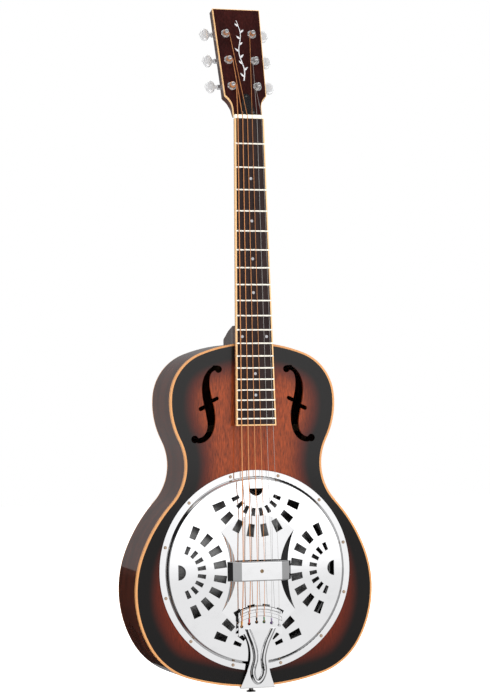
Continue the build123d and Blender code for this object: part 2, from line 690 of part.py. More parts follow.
def make_truss_rod():
    """Square truss rod in its channel and the nut on its headstock end."""
    bar = on_neck(block((-3, 3), (-318, 2), (-ROD_DEPTH, -BOARD_THICKNESS)))
    end_nut = extrude(RegularPolygon(2.9, 6), amount=3.5, both=True)
    return [bar - nut_stock(), on_neck(Pos(0, 5.5, 3.5 - ROD_DEPTH) * Rot(90, 0, 0) * end_nut)]


def make_truss_cover():
    """Bell-shaped cover over the truss rod's nut and its two screws, in the headstock frame."""
    low = NUT_THICKNESS + 1.2
    edges = [Line((0, low), (12, low)), Spline((12, low), (9, 20), (6.2, 33), tangents=[(-0.1, 1), (0, 1)]),
             ThreePointArc((6.2, 33), (4.4, 36.8), (0, 38.6))]
    plate = slab(closed_face(edges), 0, 1.6)
    screws = []
    for x, y in ((-8, low + 3), (8, low + 3), (0, 34.5)):
        plate = plate - rod(x, y, 0.9, -1, 3)
        screws.append(on_head(rod(x, y, 1.5, 1.6, 2.1) + rod(x, y, 0.9, -VENEER_THICKNESS - 5, 1.6)))
    return {"truss_rod_cover": on_head(plate), "truss_cover_screws": screws}


def make_neck_bolts():
    """Two bolts from inside the neck block into the heel, in the face frame."""
    bolts = []
    head_v = BODY_JOIN_V - NECK_BLOCK_LENGTH
    for w in (-32, -62):
        shank = Rot(90, 0, 0) * Cylinder(3, NECK_BLOCK_LENGTH + 12)
        head = Rot(90, 0, 0) * extrude(RegularPolygon(6, 6), amount=2, both=True)
        bolt = Pos(0, head_v + (NECK_BLOCK_LENGTH + 12) / 2, w) * shank + Pos(0, head_v - 2, w) * head
        bolts.append(on_face(bolt))
    return bolts


# ---- tuners, in the headstock frame ----
def make_housing(side, x, y):
    """Closed gear housing behind the headstock, with a sleeve towards the key and a screw lug."""
    back = -HEAD_THICKNESS
    shell = block((x - 9, x + 9), (y - 9, y + 14), (back - 12.4, back))
    shell = fillet(shell.edges().group_by(Axis.Z)[0], 2.0)
    shell = shell + block((x - 4, x + 4), (y - 14, y - 8), (back - 1.5, back))
    sleeve_end = x + side * 14
    shell = shell + cross_rod(3.6, y + KEY_OFFSET, -KEY_DEPTH, x + side * 8, sleeve_end)
    shell = shell - block((x - 7.6, x + 7.6), (y - 7.6, y + 12.4), (back - 11.2, back - 1.2))
    shell = shell - rod(x, y, POST_RADIUS + RUNNING_CLEARANCE, back - 5, back + 1)
    bore = KEY_SHAFT_RADIUS + RUNNING_CLEARANCE
    shell = shell - cross_rod(bore, y + KEY_OFFSET, -KEY_DEPTH, x + side * 5, sleeve_end + side)
    return shell - rod(x, y - 11.5, 1.1, back - 5, back + 1)


def make_lug_screw(x, y):
    back = -HEAD_THICKNESS
    return rod(x, y - 11.5, 2.2, back - 2.7, back - 1.5) + rod(x, y - 11.5, 1.1, back - 1.5, -7)


def make_bushing(x, y):
    """Threaded sleeve through the headstock with a domed nut on the front."""
    nut = Pos(x, y, 1.6) * Cone(5.4, 4.6, 1.6)
    sleeve = rod(x, y, BUSHING_RADIUS, -HEAD_THICKNESS, 0.8)
    return nut + sleeve - rod(x, y, POST_RADIUS + RUNNING_CLEARANCE, -HEAD_THICKNESS - 1, 5)


def make_washer(x, y):
    disc = rod(x, y, WASHER_RADIUS, 0, 0.8)
    disc = chamfer(disc.edges().group_by(Axis.Z)[-1], 0.4)
    return disc - rod(x, y, BUSHING_RADIUS, -1, 2)


def wrap_rings(diameter):
    """Heights of the string's turns on its post."""
    turns = 3 if diameter > 0.8 else 5
    return [2.9 + diameter * (0.5 + 0.93 * turn) for turn in range(turns)]


def make_post(number, x, y):
    """Post, worm wheel and the turns of string that are wound on it."""
    diameter = STRINGS[number][0]
    low = -HEAD_THICKNESS - 11.0
    post = rod(x, y, POST_RADIUS, low, POST_TOP)
    post = chamfer(post.edges().group_by(Axis.Z)[-1], 0.6)
    post = post - cross_rod(0.8, y, 7.2, x - 5, x + 5)
    tooth_shape = [(-0.16, GEAR_ROOT_RADIUS), (-0.08, GEAR_TIP_RADIUS),
                   (0.08, GEAR_TIP_RADIUS), (0.16, GEAR_ROOT_RADIUS)]
    corners = []
    for tooth in range(GEAR_TEETH):
        middle = 2 * pi * (tooth + 0.5) / GEAR_TEETH
        for offset, radius in tooth_shape:
            corners.append((x + radius * cos(middle + offset), y + radius * sin(middle + offset)))
    wheel = slab(make_face(Polyline(*corners, close=True)), -KEY_DEPTH - 1.9, -KEY_DEPTH + 1.9)
    wheel = wheel - rod(x, y, POST_RADIUS, -40, 0)
    wraps = None
    for height in wrap_rings(diameter):
        turn = Pos(x, y, height) * Torus(POST_RADIUS + diameter / 2 + 0.02, diameter / 2)
        wraps = turn if wraps is None else wraps + turn
    return [on_head(solid) for solid in (post, wheel, wraps)]


def button_face():
    """Tulip outline of a key button in (x, y): an oval hollowed on the side towards the shaft."""
    face = Ellipse(BUTTON_HALF_LENGTH, BUTTON_HALF_WIDTH) - Pos(0, -BUTTON_HALF_WIDTH - 4.1) * Circle(5.4)
    return fillet(face.vertices(), 1.6)


def make_key(side, x, y):
    """Worm shaft, tulip button and the small screw in the button's end."""
    axis_y = y + KEY_OFFSET
    shaft = cross_rod(KEY_SHAFT_RADIUS, axis_y, -KEY_DEPTH, x - side * 6.6, side * 40.5)
    for turn in (-1, 0, 1):
        shaft = shaft + cross_rod(WORM_RADIUS, axis_y, -KEY_DEPTH, x + turn * 2.1 - 0.5, x + turn * 2.1 + 0.5)
    shaft = shaft + cross_rod(2.9, axis_y, -KEY_DEPTH, side * 35.2, side * 37.8)
    button = slab(button_face(), -3.2, 3.2)
    button = fillet(button.edges().group_by(Axis.Z)[0] + button.edges().group_by(Axis.Z)[-1], 2.0)
    button = Pos(side * KEY_BUTTON_U, axis_y, -KEY_DEPTH) * Rot(0, 0, -90 * side) * button
    bore = cross_rod(KEY_SHAFT_RADIUS, axis_y, -KEY_DEPTH, side * 35, side * 40.5)
    end = KEY_BUTTON_U + BUTTON_HALF_WIDTH
    screw = cross_rod(1.0, axis_y, -KEY_DEPTH, side * 40.5, side * end)
    screw = screw + cross_rod(2.2, axis_y, -KEY_DEPTH, side * (end - 0.6), side * (end + 0.8))
    collar = cross_rod(2.9, axis_y, -KEY_DEPTH, side * 35.2, side * 37.8)
    button = button - bore - collar - screw
    return [on_head(solid) for solid in (shaft, button, screw)]


# ---- strings ----
def string_x(number, spacing):
    return (3.5 - number) * spacing


def point_on(plane, x, y, z):
    return plane.from_local_coords(Vector(x, y, z))


def string_route(number):
    """Centre line of a string: post, nut, saddle, the tailpiece's front bar and its hole."""
    diameter, side, row = STRINGS[number]
    post_y, post_x = POST_ROWS[row]
    reach = POST_RADIUS + 1.5 * diameter + 0.3
    at_post = point_on(HEAD_PLANE, side * (post_x - reach), post_y, wrap_rings(diameter)[1])
    at_nut = point_on(NECK_PLANE, string_x(number, SPACING_AT_NUT), NUT_THICKNESS / 2, STRING_RISE)
    at_saddle = point_on(FACE_PLANE, string_x(number, SPACING_AT_SADDLE), 0, SADDLE_TOP_W)
    hole_x, hole_v = [(x, v) for count, x, v in ball_hole_places() if count == number][0]
    bar_v = -52 - hole_x ** 2 / (2 * HEAD_ARC_RADIUS)
    at_bar = point_on(FACE_PLANE, hole_x * 0.98, bar_v, FRONT_BAR_W + diameter / 2 + 0.3)
    above_hole = point_on(FACE_PLANE, hole_x, hole_v + 1.0, TAILPIECE_HEAD_W + 1.4)
    in_hole = point_on(FACE_PLANE, hole_x, hole_v, BALL_W + BALL_RADIUS + 0.05)
    return [at_post, at_nut, at_saddle, at_bar, above_hole, in_hole]


def make_string(number, extra=0.0):
    """A string as straight runs joined by small tangent bends."""
    diameter = STRINGS[number][0]
    points = string_route(number)
    path = FilletPolyline(*points, radius=1.6)
    section = Plane(origin=points[0], z_dir=points[1] - points[0]) * Circle(diameter / 2 + extra)
    return sweep(section, path=path)


def make_ball_ends():
    """Short spools that hold the strings under the tailpiece's holes."""
    balls = []
    for _, x, v in ball_hole_places():
        spool = Pos(x, v, BALL_W) * Rot(0, 90, 0) * Cylinder(BALL_RADIUS, 2.6)
        balls.append(on_face(spool))
    return balls


# ---- assembly ----
def save(name, shapes):
    """Write one node; a list is a group of separate solids."""
    if isinstance(shapes, list):
        solids = [solid for shape in shapes for solid in shape.solids()]
    else:
        solids = shapes.solids()
    shape = solids[0] if len(solids) == 1 else Compound(children=solids)
    export_step(shape, os.path.join("parts", name + ".step"))


def build_nodes():
    nodes = {name: shape for name, shape in make_body().items()}
    nodes["soundwell"] = make_soundwell()
    nodes["resonator_cone"] = make_cone()
    nodes.update(make_bridge())
    nodes["coverplate"] = make_coverplate()
    nodes["coverplate_screws"] = make_plate_screws()
    nodes["hand_rest"] = make_hand_rest()
    nodes["tailpiece"] = make_tailpiece()
    for name in ("coverplate", "body_top", "soundwell"):
        nodes[name] = nodes[name] - nodes["coverplate_screws"]
    for name, shape in nodes.items():
        nodes[name] = [on_face(part) for part in shape] if isinstance(shape, list) else on_face(shape)

    nodes.update(make_strap_button())
    button_hole = nodes["strap_button_screw"]
    for name in ("tail_block", "body_sides"):
        nodes[name] = nodes[name] - button_hole

    nodes.update(make_fingerboard())
    nodes["fingerboard_riser"] = make_riser()
    nodes.update(make_neck())
    nodes["truss_rod"] = make_truss_rod()
    nodes.update(make_truss_cover())
    nodes["headstock_veneer"] = nodes["headstock_veneer"] - nodes["truss_cover_screws"]
    nodes["neck"] = nodes["neck"] - nodes["truss_cover_screws"]
    nodes["neck_bolts"] = make_neck_bolts()
    for name in ("neck", "neck_block", "body_sides"):
        nodes[name] = nodes[name] - nodes["neck_bolts"]
    nodes["neck"] = nodes["neck"] - nodes["fingerboard_riser"]

    nodes["nut"] = nut_stock() - [make_string(number, 0.02) for number in STRINGS]
    nodes["saddle"] = nodes["saddle"] - [make_string(number, 0.02) for number in STRINGS]
    for number in STRINGS:
        nodes["string_%d" % number] = make_string(number)
    nodes["string_ball_ends"] = make_ball_ends()

    places = list(post_places())
    nodes["tuner_housings"] = [on_head(make_housing(side, x, y)) for _, side, x, y in places]
    nodes["tuner_bushings"] = [on_head(make_bushing(x, y)) for _, _, x, y in places]
    nodes["tuner_washers"] = [on_head(make_washer(x, y)) for _, _, x, y in places]
    nodes["tuner_screws"] = [on_head(make_lug_screw(x, y)) for _, _, x, y in places]
    nodes["neck"] = nodes["neck"] - nodes["tuner_screws"]
    for number, side, x, y in places:
        nodes["tuner_key_%d" % number] = make_key(side, x, y)
        nodes["tuner_post_%d" % number] = make_post(number, x, y)
    return nodes


os.makedirs("parts", exist_ok=True)
for node_name, node_shape in build_nodes().items():
    save(node_name, node_shape)
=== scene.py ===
from math import cos, pi, radians, sin

import bmesh
import bpy
from bpy.props import FloatProperty, FloatVectorProperty, IntProperty, PointerProperty
from bpy.types import Operator, Panel, PropertyGroup
from mathutils import Matrix, Vector


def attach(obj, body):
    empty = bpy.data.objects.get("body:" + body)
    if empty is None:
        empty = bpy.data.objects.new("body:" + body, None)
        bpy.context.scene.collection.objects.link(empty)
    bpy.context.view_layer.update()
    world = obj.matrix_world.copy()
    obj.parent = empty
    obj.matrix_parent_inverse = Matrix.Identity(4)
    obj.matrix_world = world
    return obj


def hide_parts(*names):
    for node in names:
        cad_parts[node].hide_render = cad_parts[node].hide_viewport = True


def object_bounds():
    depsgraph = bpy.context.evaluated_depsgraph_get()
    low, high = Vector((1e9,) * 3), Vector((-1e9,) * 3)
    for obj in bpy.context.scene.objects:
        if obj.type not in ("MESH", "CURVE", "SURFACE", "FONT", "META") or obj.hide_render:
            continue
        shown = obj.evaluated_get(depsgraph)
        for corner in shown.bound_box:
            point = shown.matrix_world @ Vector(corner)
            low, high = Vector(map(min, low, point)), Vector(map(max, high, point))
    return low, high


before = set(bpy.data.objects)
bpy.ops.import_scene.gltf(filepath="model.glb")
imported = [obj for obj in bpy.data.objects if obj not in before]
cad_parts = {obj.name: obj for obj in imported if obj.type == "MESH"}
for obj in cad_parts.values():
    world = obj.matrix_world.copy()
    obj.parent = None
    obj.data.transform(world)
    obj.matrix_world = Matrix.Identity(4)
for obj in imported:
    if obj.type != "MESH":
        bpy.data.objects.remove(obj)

bl_info = {
    "name": "Resonator guitar workshop",
    "version": (1, 0, 0),
    "blender": (4, 5, 0),
    "location": "View3D > Sidebar > Guitar",
    "description": "Finishes a resonator guitar and adds its windings, ball ends and headstock ornament",
    "category": "Object",
}

CAD_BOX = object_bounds()
MM = 0.001

# ---- working frames of the guitar, as on the bench: x across, y up the string, z out of the surface ----
FACE_Y = -28.0
SADDLE_Z = 169.3
SCALE_LENGTH = 640.0
NECK_LEAN = 1.707
HEAD_LEAN = 17.4
BOARD_W_AT_NUT = 1.5
HEAD_DROP = 4.95

# ---- outline of the top: arcs of its right half, as (centre across, centre up, radius) ----
TAIL_ARC = (0.0, 173.0, 337.0)
LOWER_BOUT_ARC = (23.5, -28.3, 152.0)
FLANK_ARC = (-39.9, -52.8, 220.0)
WAIST_ARC = (178.0, 149.0, 77.0)
UPPER_BOUT_ARC = (5.8, 237.1, 116.5)
SHOULDER_ARC = (0.0, 108.5, 213.0)

# ---- heights between which one arc gives way to the next, and how softly two arcs merge ----
FLANK_JOIN = (16.0, 46.0)
WAIST_JOIN = (88.0, 108.0)
UPPER_BOUT_JOIN = (170.0, 200.0)
TAIL_MERGE = 12.0
SHOULDER_MERGE = 30.0

# ---- strings: number: (diameter, side of the headstock, row of tuners counted from the nut) ----
STRINGS = {
    6: (1.42, -1, 0),
    5: (1.17, -1, 1),
    4: (0.91, -1, 2),
    3: (0.69, 1, 2),
    2: (0.46, 1, 1),
    1: (0.41, 1, 0),
}
WOUND_STRINGS = (6, 5, 4, 3)
POST_ROWS = [(51.0, 19.2), (92.1, 19.8), (134.1, 19.95)]
SPACING_AT_TAILPIECE = 11.06
HOLE_V = -71.5
HOLE_SAG = 130.0
BALL_W = 15.4
FRONT_BAR_V = -52.0
FRONT_BAR_W = 21.6
FRONT_BAR_ARC = 65.0
TAILPIECE_TOP_W = 19.2
MIDDLE_OF_STRINGS = 3.5
THREAD_STEP = 0.25
THREAD_STEPS = 17

# ---- string posts: heights along the post's axis, from the headstock's face ----
POST_RADIUS = 3.0
POST_TOP = 9.0
POST_BOTTOM = -26.0
POST_HOLE_Z = 7.2
WHEEL_Z = -23.0
WHEEL_HALF = 1.9
WHEEL_TEETH = 14
WHEEL_ROOT = 4.8
WHEEL_TIP = 5.6

# ---- windings on the posts, in millimetres or in diameters of the string ----
WINDING_LOW = 2.9
WINDING_GAP = 0.02
WINDING_PITCH = 0.93
STEPS_PER_TURN = 26
THICK_STRING = 0.8

# ---- pearl vine, from and to these heights on the headstock ----
VINE_LOW = 60.0
VINE_HIGH = 156.0
VINE_PROUD = 0.12
VINE_STEPS = 60
VINE_LEAVES = 9
LEAF_STEPS = 12

# ---- scale of the slow darkening along the wound strings ----
WOUND_FADE = 0.125

# ---- the studio, in metres ----
KEY_LIGHT_PLACE = (1.6, -3.18, 2.4)
KEY_LIGHT_TARGET = (0.0, 0.0, 0.5)
KEY_LIGHT_SIZE = (2.2, 2.2)
TOP_LIGHT_PLACE = (0.0, 0.4, 3.4)
TOP_LIGHT_TARGET = (0.0, 0.2, 0.0)
TOP_LIGHT_SIZE = (4.0, 4.0)
FLAG_BACK = 0.30
FLAG_FRONT = -0.03
FLAG_LEFT = -1.2
FLAG_RIGHT = -0.1
FLAG_TOP = 0.188
FLAG_RETURN = 0.2

# ---- what reflections see round the guitar: (azimuth in degrees, brightness) ----
ROOM_STOPS = [
    (-180, 0.22), (-150, 0.26), (-135, 0.3), (-120, 0.02), (-84, 0.02), (-79, 0.5), (-65, 0.5), (-61, 0.02),
    (-28, 0.02), (-18, 0.42), (-10, 0.6), (-6, 1.0), (44, 1.0), (50, 0.42), (64, 0.3), (100, 0.3),
    (108, 0.03), (118, 0.03), (130, 0.3), (180, 0.22),
]


def plane_matrix(v, w, lean):
    """The frame of a surface at height v and w in front of the top, leaning back by lean degrees."""
    a = radians(lean)
    axes = Matrix(((1, 0, 0), (0, sin(a), -cos(a)), (0, cos(a), sin(a))))
    place = Vector((0, FACE_Y - w, SADDLE_Z + v)) * MM
    return Matrix.Translation(place) @ axes.to_4x4() @ Matrix.Scale(MM, 4)


FACE = plane_matrix(0, 0, 0)
HEAD = plane_matrix(SCALE_LENGTH, BOARD_W_AT_NUT - HEAD_DROP, HEAD_LEAN)


# ---- shader expressions ----
class Value:
    """A shader socket on which Python's arithmetic adds Math nodes."""

    def __init__(self, finish, socket):
        self.finish = finish
        self.socket = socket

    def maths(self, operation, first, second=0.0, third=0.0):
        return self.finish.node("ShaderNodeMath", {"operation": operation}, {0: first, 1: second, 2: third})

    def __add__(self, other):
        return self.maths("ADD", self, other)

    def __radd__(self, other):
        return self.maths("ADD", other, self)

    def __sub__(self, other):
        return self.maths("SUBTRACT", self, other)

    def __rsub__(self, other):
        return self.maths("SUBTRACT", other, self)

    def __mul__(self, other):
        return self.maths("MULTIPLY", self, other)

    def __rmul__(self, other):
        return self.maths("MULTIPLY", other, self)

    def __truediv__(self, other):
        return self.maths("DIVIDE", self, other)

    def __pow__(self, other):
        return self.maths("POWER", self, other)

    def size(self):
        return self.maths("ABSOLUTE", self)

    def least(self, other, softness=0.0):
        return self.maths("SMOOTH_MIN", self, other, softness)

    def rise(self, low, high):
        """0 below low and 1 above high, with a smooth step between; low may be the larger."""
        if low > high:
            return 1.0 - self.rise(high, low)
        sockets = {"Value": self, "From Min": low, "From Max": high}
        return self.finish.node("ShaderNodeMapRange", {"interpolation_type": "SMOOTHSTEP"}, sockets)


class Finish:
    """One material, or the world, whose nodes are added by expressions."""

    def __init__(self, tree):
        self.tree = tree
        self.tree.nodes.clear()

    def node(self, kind, settings=None, sockets=None, output=0):
        """Adds a node: its settings first, then its sockets' values or links."""
        made = self.tree.nodes.new(kind)
        for name, value in (settings or {}).items():
            if name == "stops":
                self.set_stops(made.color_ramp, value)
            else:
                setattr(made, name, value)
        for name, value in (sockets or {}).items():
            if isinstance(value, Value):
                self.tree.links.new(value.socket, made.inputs[name])
            else:
                made.inputs[name].default_value = value
        return Value(self, made.outputs[output] if len(made.outputs) else None)

    @staticmethod
    def set_stops(ramp, stops):
        while len(ramp.elements) > 1:
            ramp.elements.remove(ramp.elements[-1])
        for number, (place, colour) in enumerate(stops):
            stop = ramp.elements[0] if number == 0 else ramp.elements.new(place)
            stop.position = place
            stop.color = (*colour, 1.0)

    def place(self):
        """The point on the piece, in metres."""
        return self.node("ShaderNodeTexCoord", output=3)

    def split(self, vector):
        """The three parts of a vector."""
        first = self.node("ShaderNodeSeparateXYZ", None, {0: vector})
        outputs = first.socket.node.outputs
        return [Value(self, outputs[part]) for part in range(3)]

    def stretched(self, vector, scale):
        return self.node("ShaderNodeVectorMath", {"operation": "MULTIPLY"}, {0: vector, 1: scale})

    def turned(self, vector, degrees_about_x):
        sockets = {"Vector": vector, "Rotation": (radians(degrees_about_x), 0.0, 0.0)}
        return self.node("ShaderNodeMapping", None, sockets)

    def noise(self, vector, detail=3.0, roughness=0.5, distortion=0.0):
        sockets = {"Vector": vector, "Scale": 1.0, "Detail": detail, "Roughness": roughness,
                   "Distortion": distortion}
        return self.node("ShaderNodeTexNoise", None, sockets)

    def blend(self, amount, first, second, mode="MIX"):
        """A colour from first to second by amount."""
        first, second = [c if isinstance(c, Value) else (*c[:3], 1.0) for c in (first, second)]
        settings = {"data_type": "RGBA", "blend_type": mode}
        return self.node("ShaderNodeMix", settings, {0: amount, 6: first, 7: second}, 2)

    def shaded(self, colour, light):
        """A colour made lighter or darker by a number near 1."""
        grey = self.node("ShaderNodeCombineColor", None, {0: light, 1: light, 2: light})
        return self.blend(1.0, colour, grey, "MULTIPLY")

    def bump(self, height, depth):
        return self.node("ShaderNodeBump", None, {"Height": height, "Distance": depth, "Strength": 1.0})


def new_finish(name, shown, make):
    """A material whose surface make(finish) returns as the Principled shader's sockets."""
    material = bpy.data.materials.new(name)
    material.use_nodes = True
    material.diffuse_color = (*shown[:3], 1.0)
    finish = Finish(material.node_tree)
    surface = finish.node("ShaderNodeBsdfPrincipled", None, make(finish))
    finish.node("ShaderNodeOutputMaterial", None, {"Surface": surface})
    return material


def distance_inside(across, up, arc):
    """How far a point lies inside an arc's circle, in millimetres."""
    centre_across, centre_up, radius = arc
    dx = across - centre_across
    dy = up - centre_up
    return radius - (dx * dx + dy * dy) ** 0.5


def distance_from_edge(across, up):
    """How far a point of the top lies from the edge, in millimetres."""
    side = across.size()
    lower_bout = distance_inside(side, up, LOWER_BOUT_ARC)
    tail = lower_bout.least(distance_inside(side, up, TAIL_ARC), TAIL_MERGE)
    flank = distance_inside(side, up, FLANK_ARC)
    waist = distance_inside(side, up, WAIST_ARC) * -1.0
    upper_bout = distance_inside(side, up, UPPER_BOUT_ARC)
    upper = upper_bout.least(distance_inside(side, up, SHOULDER_ARC), SHOULDER_MERGE)
    edge = tail + (flank - tail) * up.rise(*FLANK_JOIN)
    edge = edge + (waist - edge) * up.rise(*WAIST_JOIN)
    return edge + (upper - edge) * up.rise(*UPPER_BOUT_JOIN)


def wood_grain(finish, place, across, along, depth=0.6):
    """Fine straight grain, varying about 0.5 and drawn out along z."""
    fibres = finish.noise(finish.stretched(place, (across, across, along)), 4.0, 0.62)
    return (fibres - 0.5) * depth * 2.0 + 0.5


def lacquer(colour, roughness=0.32, coat_roughness=0.04):
    """Sockets that every lacquered wood shares."""
    return {"Base Color": colour, "Roughness": roughness, "Specular IOR Level": 0.12, "Coat Weight": 1.0,
            "Coat Roughness": coat_roughness}


def sunburst(colours):
    def make(finish):
        place = finish.place()
        x, _, z = finish.split(place)
        across = x * 1000.0
        up = z * 1000.0 - SADDLE_Z
        cloud = finish.noise(finish.stretched(place, (14.0, 14.0, 9.0)), 2.0)
        edge = distance_from_edge(across, up) + (cloud - 0.5) * 9.0
        pores = wood_grain(finish, place, 640.0, 85.0, 0.9)
        bands = finish.noise(finish.stretched(place, (110.0, 1.0, 9.0)), 3.0)
        light = -0.22 + pores * 1.75 + bands * 0.7
        heart = finish.blend(up.rise(-60.0, 120.0), colours.burst_low, colours.burst_centre)
        wood = finish.shaded(heart, light)
        red = finish.shaded(finish.blend(1.0, heart, colours.burst_ring), 0.75 + pores * 0.4)
        wood = finish.blend(edge.rise(colours.ring_reach, colours.ring_start), wood, red)
        wood = finish.blend(edge.rise(colours.edge_fade, colours.edge_reach), wood, colours.burst_edge)
        sockets = lacquer(wood, 0.3 + pores * 0.12)
        # Painted reflection: the clear coat is thin towards the tail and fuller over the upper bout, so the
        # top reflects more light higher up.
        sockets["Coat Weight"] = 0.12 + up.rise(40.0, 170.0) * 0.38
        fine = finish.noise(finish.stretched(place, (320.0, 320.0, 40.0)), 2.0)
        sockets["Normal"] = finish.bump(fine, 0.00001)
        return sockets
    return new_finish("sunburst_lacquer", colours.burst_centre, make)


def stained_wood(name, colour, streak, across=700.0, along=16.0, gloss=0.05):
    """Dark stained mahogany under clear lacquer."""
    def make(finish):
        place = finish.place()
        fibres = wood_grain(finish, place, across, along)
        bands = finish.noise(finish.stretched(place, (60.0, 60.0, 5.0)), 3.0)
        wood = finish.blend((fibres * 0.7 + bands * 0.6 - 0.2).rise(0.25, 0.85), colour, streak)
        sockets = lacquer(wood, 0.28 + fibres * 0.14, gloss)
        ripple = finish.noise(finish.stretched(place, (90.0, 90.0, 22.0)), 2.0)
        sockets["Normal"] = finish.bump(ripple, 0.00003)
        return sockets
    return new_finish(name, colour, make)


def edge_strip(name, colour, dark):
    """Binding: pale maple strip under lacquer, with a little ambering."""
    def make(finish):
        place = finish.place()
        fibres = finish.noise(finish.stretched(place, (260.0, 260.0, 60.0)), 3.0)
        amber = finish.noise(finish.stretched(place, (20.0, 20.0, 12.0)), 2.0)
        tone = finish.blend((fibres * 0.45 + amber * 0.7 - 0.1).rise(0.2, 0.9), colour, dark)
        sockets = lacquer(tone, 0.3 + fibres * 0.15, 0.06)
        sockets["Normal"] = finish.bump(fibres, 0.00002)
        return sockets
    return new_finish(name, colour, make)


def bare_wood(name, colour, dark, across=450.0):
    """Unfinished wood: matt, with growth rings and a fuzzy cut surface."""
    def make(finish):
        place = finish.place()
        fibres = wood_grain(finish, place, across, 14.0)
        tone = finish.blend(fibres.rise(0.2, 0.9), colour, dark)
        fuzz = finish.noise(finish.stretched(place, (1500.0, 1500.0, 500.0)), 2.0)
        return {"Base Color": tone, "Roughness": 0.62 + fibres * 0.2, "Specular IOR Level": 0.3,
                "Normal": finish.bump(fuzz, 0.00006)}
    return new_finish(name, colour, make)


def plated_metal(name, colour, roughness, smudge=0.04, ripple=0.0, metallic=1.0):
    """Polished plating with faint handling marks."""
    def make(finish):
        place = finish.place()
        marks = finish.noise(finish.stretched(place, (45.0, 45.0, 70.0)), 4.0, 0.6)
        scuffs = finish.noise(finish.stretched(place, (700.0, 700.0, 90.0)), 3.0)
        worn = marks.rise(0.45, 0.75)
        tone = finish.shaded(colour, 1.0 - worn * 0.035)
        rough = roughness + worn * smudge + scuffs * smudge * 0.4
        sockets = {"Base Color": tone, "Metallic": metallic, "Roughness": rough}
        if ripple:
            sockets["Normal"] = finish.bump(marks, ripple)
        return sockets
    return new_finish(name, colour, make)


def spun_metal(name, colour):
    """Spun aluminium: fine rings about the cone's axis."""
    def make(finish):
        place = finish.place()
        x, _, z = finish.split(place)
        height = z - SADDLE_Z * MM
        radius = (x * x + height * height) ** 0.5
        rings = finish.node("ShaderNodeTexNoise", {"noise_dimensions": "1D"},
                            {"W": radius * 1400.0, "Scale": 1.0, "Detail": 3.0})
        broad = finish.node("ShaderNodeTexNoise", {"noise_dimensions": "1D"},
                            {"W": radius * 160.0, "Scale": 1.0, "Detail": 1.0})
        tone = finish.shaded(colour, 0.8 + rings * 0.25 + broad * 0.12)
        return {"Base Color": tone, "Metallic": 1.0, "Roughness": 0.3 + rings * 0.16,
                "Normal": finish.bump(rings, 0.00005)}
    return new_finish(name, colour, make)


def string_metal(name, colour, dark, fade=0.0):
    """String wire; with a fade it darkens slowly towards the nut. The covering's turns aren't drawn."""
    def make(finish):
        place = finish.place()
        wear = finish.noise(finish.stretched(place, (90.0, 90.0, 18.0)), 3.0)
        tarnish = wear
        if fade:
            settings = {"bands_direction": "Z", "wave_profile": "SIN"}
            darker = finish.node("ShaderNodeTexWave", settings, {"Vector": place, "Scale": fade}, 1)
            tarnish = darker * 0.35 + wear * 0.4
        return {"Base Color": finish.blend(tarnish, colour, dark), "Metallic": 0.6,
                "Roughness": 0.24 + wear * 0.16}
    return new_finish(name, colour, make)


def moulded(name, colour, dark, roughness=0.3, grain=900.0, sheen=0.0):
    """Plastic, bone or pearl: a soft mottle under a rubbed surface."""
    def make(finish):
        place = finish.place()
        mottle = finish.noise(finish.stretched(place, (grain, grain, grain * 0.5)), 3.0)
        tone = finish.blend(mottle, colour, dark)
        return {"Base Color": tone, "Roughness": roughness + mottle * 0.15,
                "Coat Weight": sheen, "Normal": finish.bump(mottle, 0.00001)}
    return new_finish(name, colour, make)


def pearl(name, colour, blue, rose):
    """Mother of pearl: clouded bands that turn from blue to rose."""
    def make(finish):
        place = finish.place()
        folds = finish.noise(finish.stretched(place, (260.0, 260.0, 420.0)), 3.0, 0.6, 1.4)
        flecks = finish.noise(finish.stretched(place, (1100.0, 1100.0, 700.0)), 2.0)
        tone = finish.blend(folds.rise(0.35, 0.65), blue, rose)
        tone = finish.blend(flecks.rise(0.3, 0.7), tone, colour)
        return {"Base Color": tone, "Roughness": 0.16 + flecks * 0.1, "Metallic": 0.25, "Coat Weight": 1.0,
                "Coat Roughness": 0.04, "Normal": finish.bump(folds, 0.00002)}
    return new_finish(name, colour, make)


def rosewood_board(name, colour, streak):
    """Oiled rosewood: dark lines and open pores along the board."""
    def make(finish):
        place = finish.turned(finish.place(), -NECK_LEAN)
        fibres = wood_grain(finish, place, 1300.0, 30.0)
        bands = finish.noise(finish.stretched(place, (150.0, 150.0, 4.0)), 3.0)
        tone = finish.blend((fibres * 0.6 + bands * 0.6 - 0.1).rise(0.3, 0.8), colour, streak)
        pores = fibres.rise(0.42, 0.3)
        return {"Base Color": finish.shaded(tone, 1.0 - pores * 0.45), "Roughness": 0.42 + pores * 0.2,
                "Specular IOR Level": 0.18, "Normal": finish.bump(fibres, 0.00006)}
    return new_finish(name, colour, make)


# ---- mesh helpers ----
def new_piece(name, build, place, body, slot, finish, *replaced):
    """An object whose mesh build(mesh) draws in a working frame; it rides on body."""
    mesh = bmesh.new()
    build(mesh)
    bmesh.ops.transform(mesh, matrix=place, verts=mesh.verts)
    bmesh.ops.recalc_face_normals(mesh, faces=mesh.faces)
    data = bpy.data.meshes.new(name)
    mesh.to_mesh(data)
    mesh.free()
    for polygon in data.polygons:
        polygon.use_smooth = True
    data.set_sharp_from_angle(angle=radians(38))
    data.materials.append(finish)
    piece = bpy.data.objects.new(name, data)
    bpy.context.scene.collection.objects.link(piece)
    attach(piece, body)
    if replaced:
        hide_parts(*replaced)
    return piece


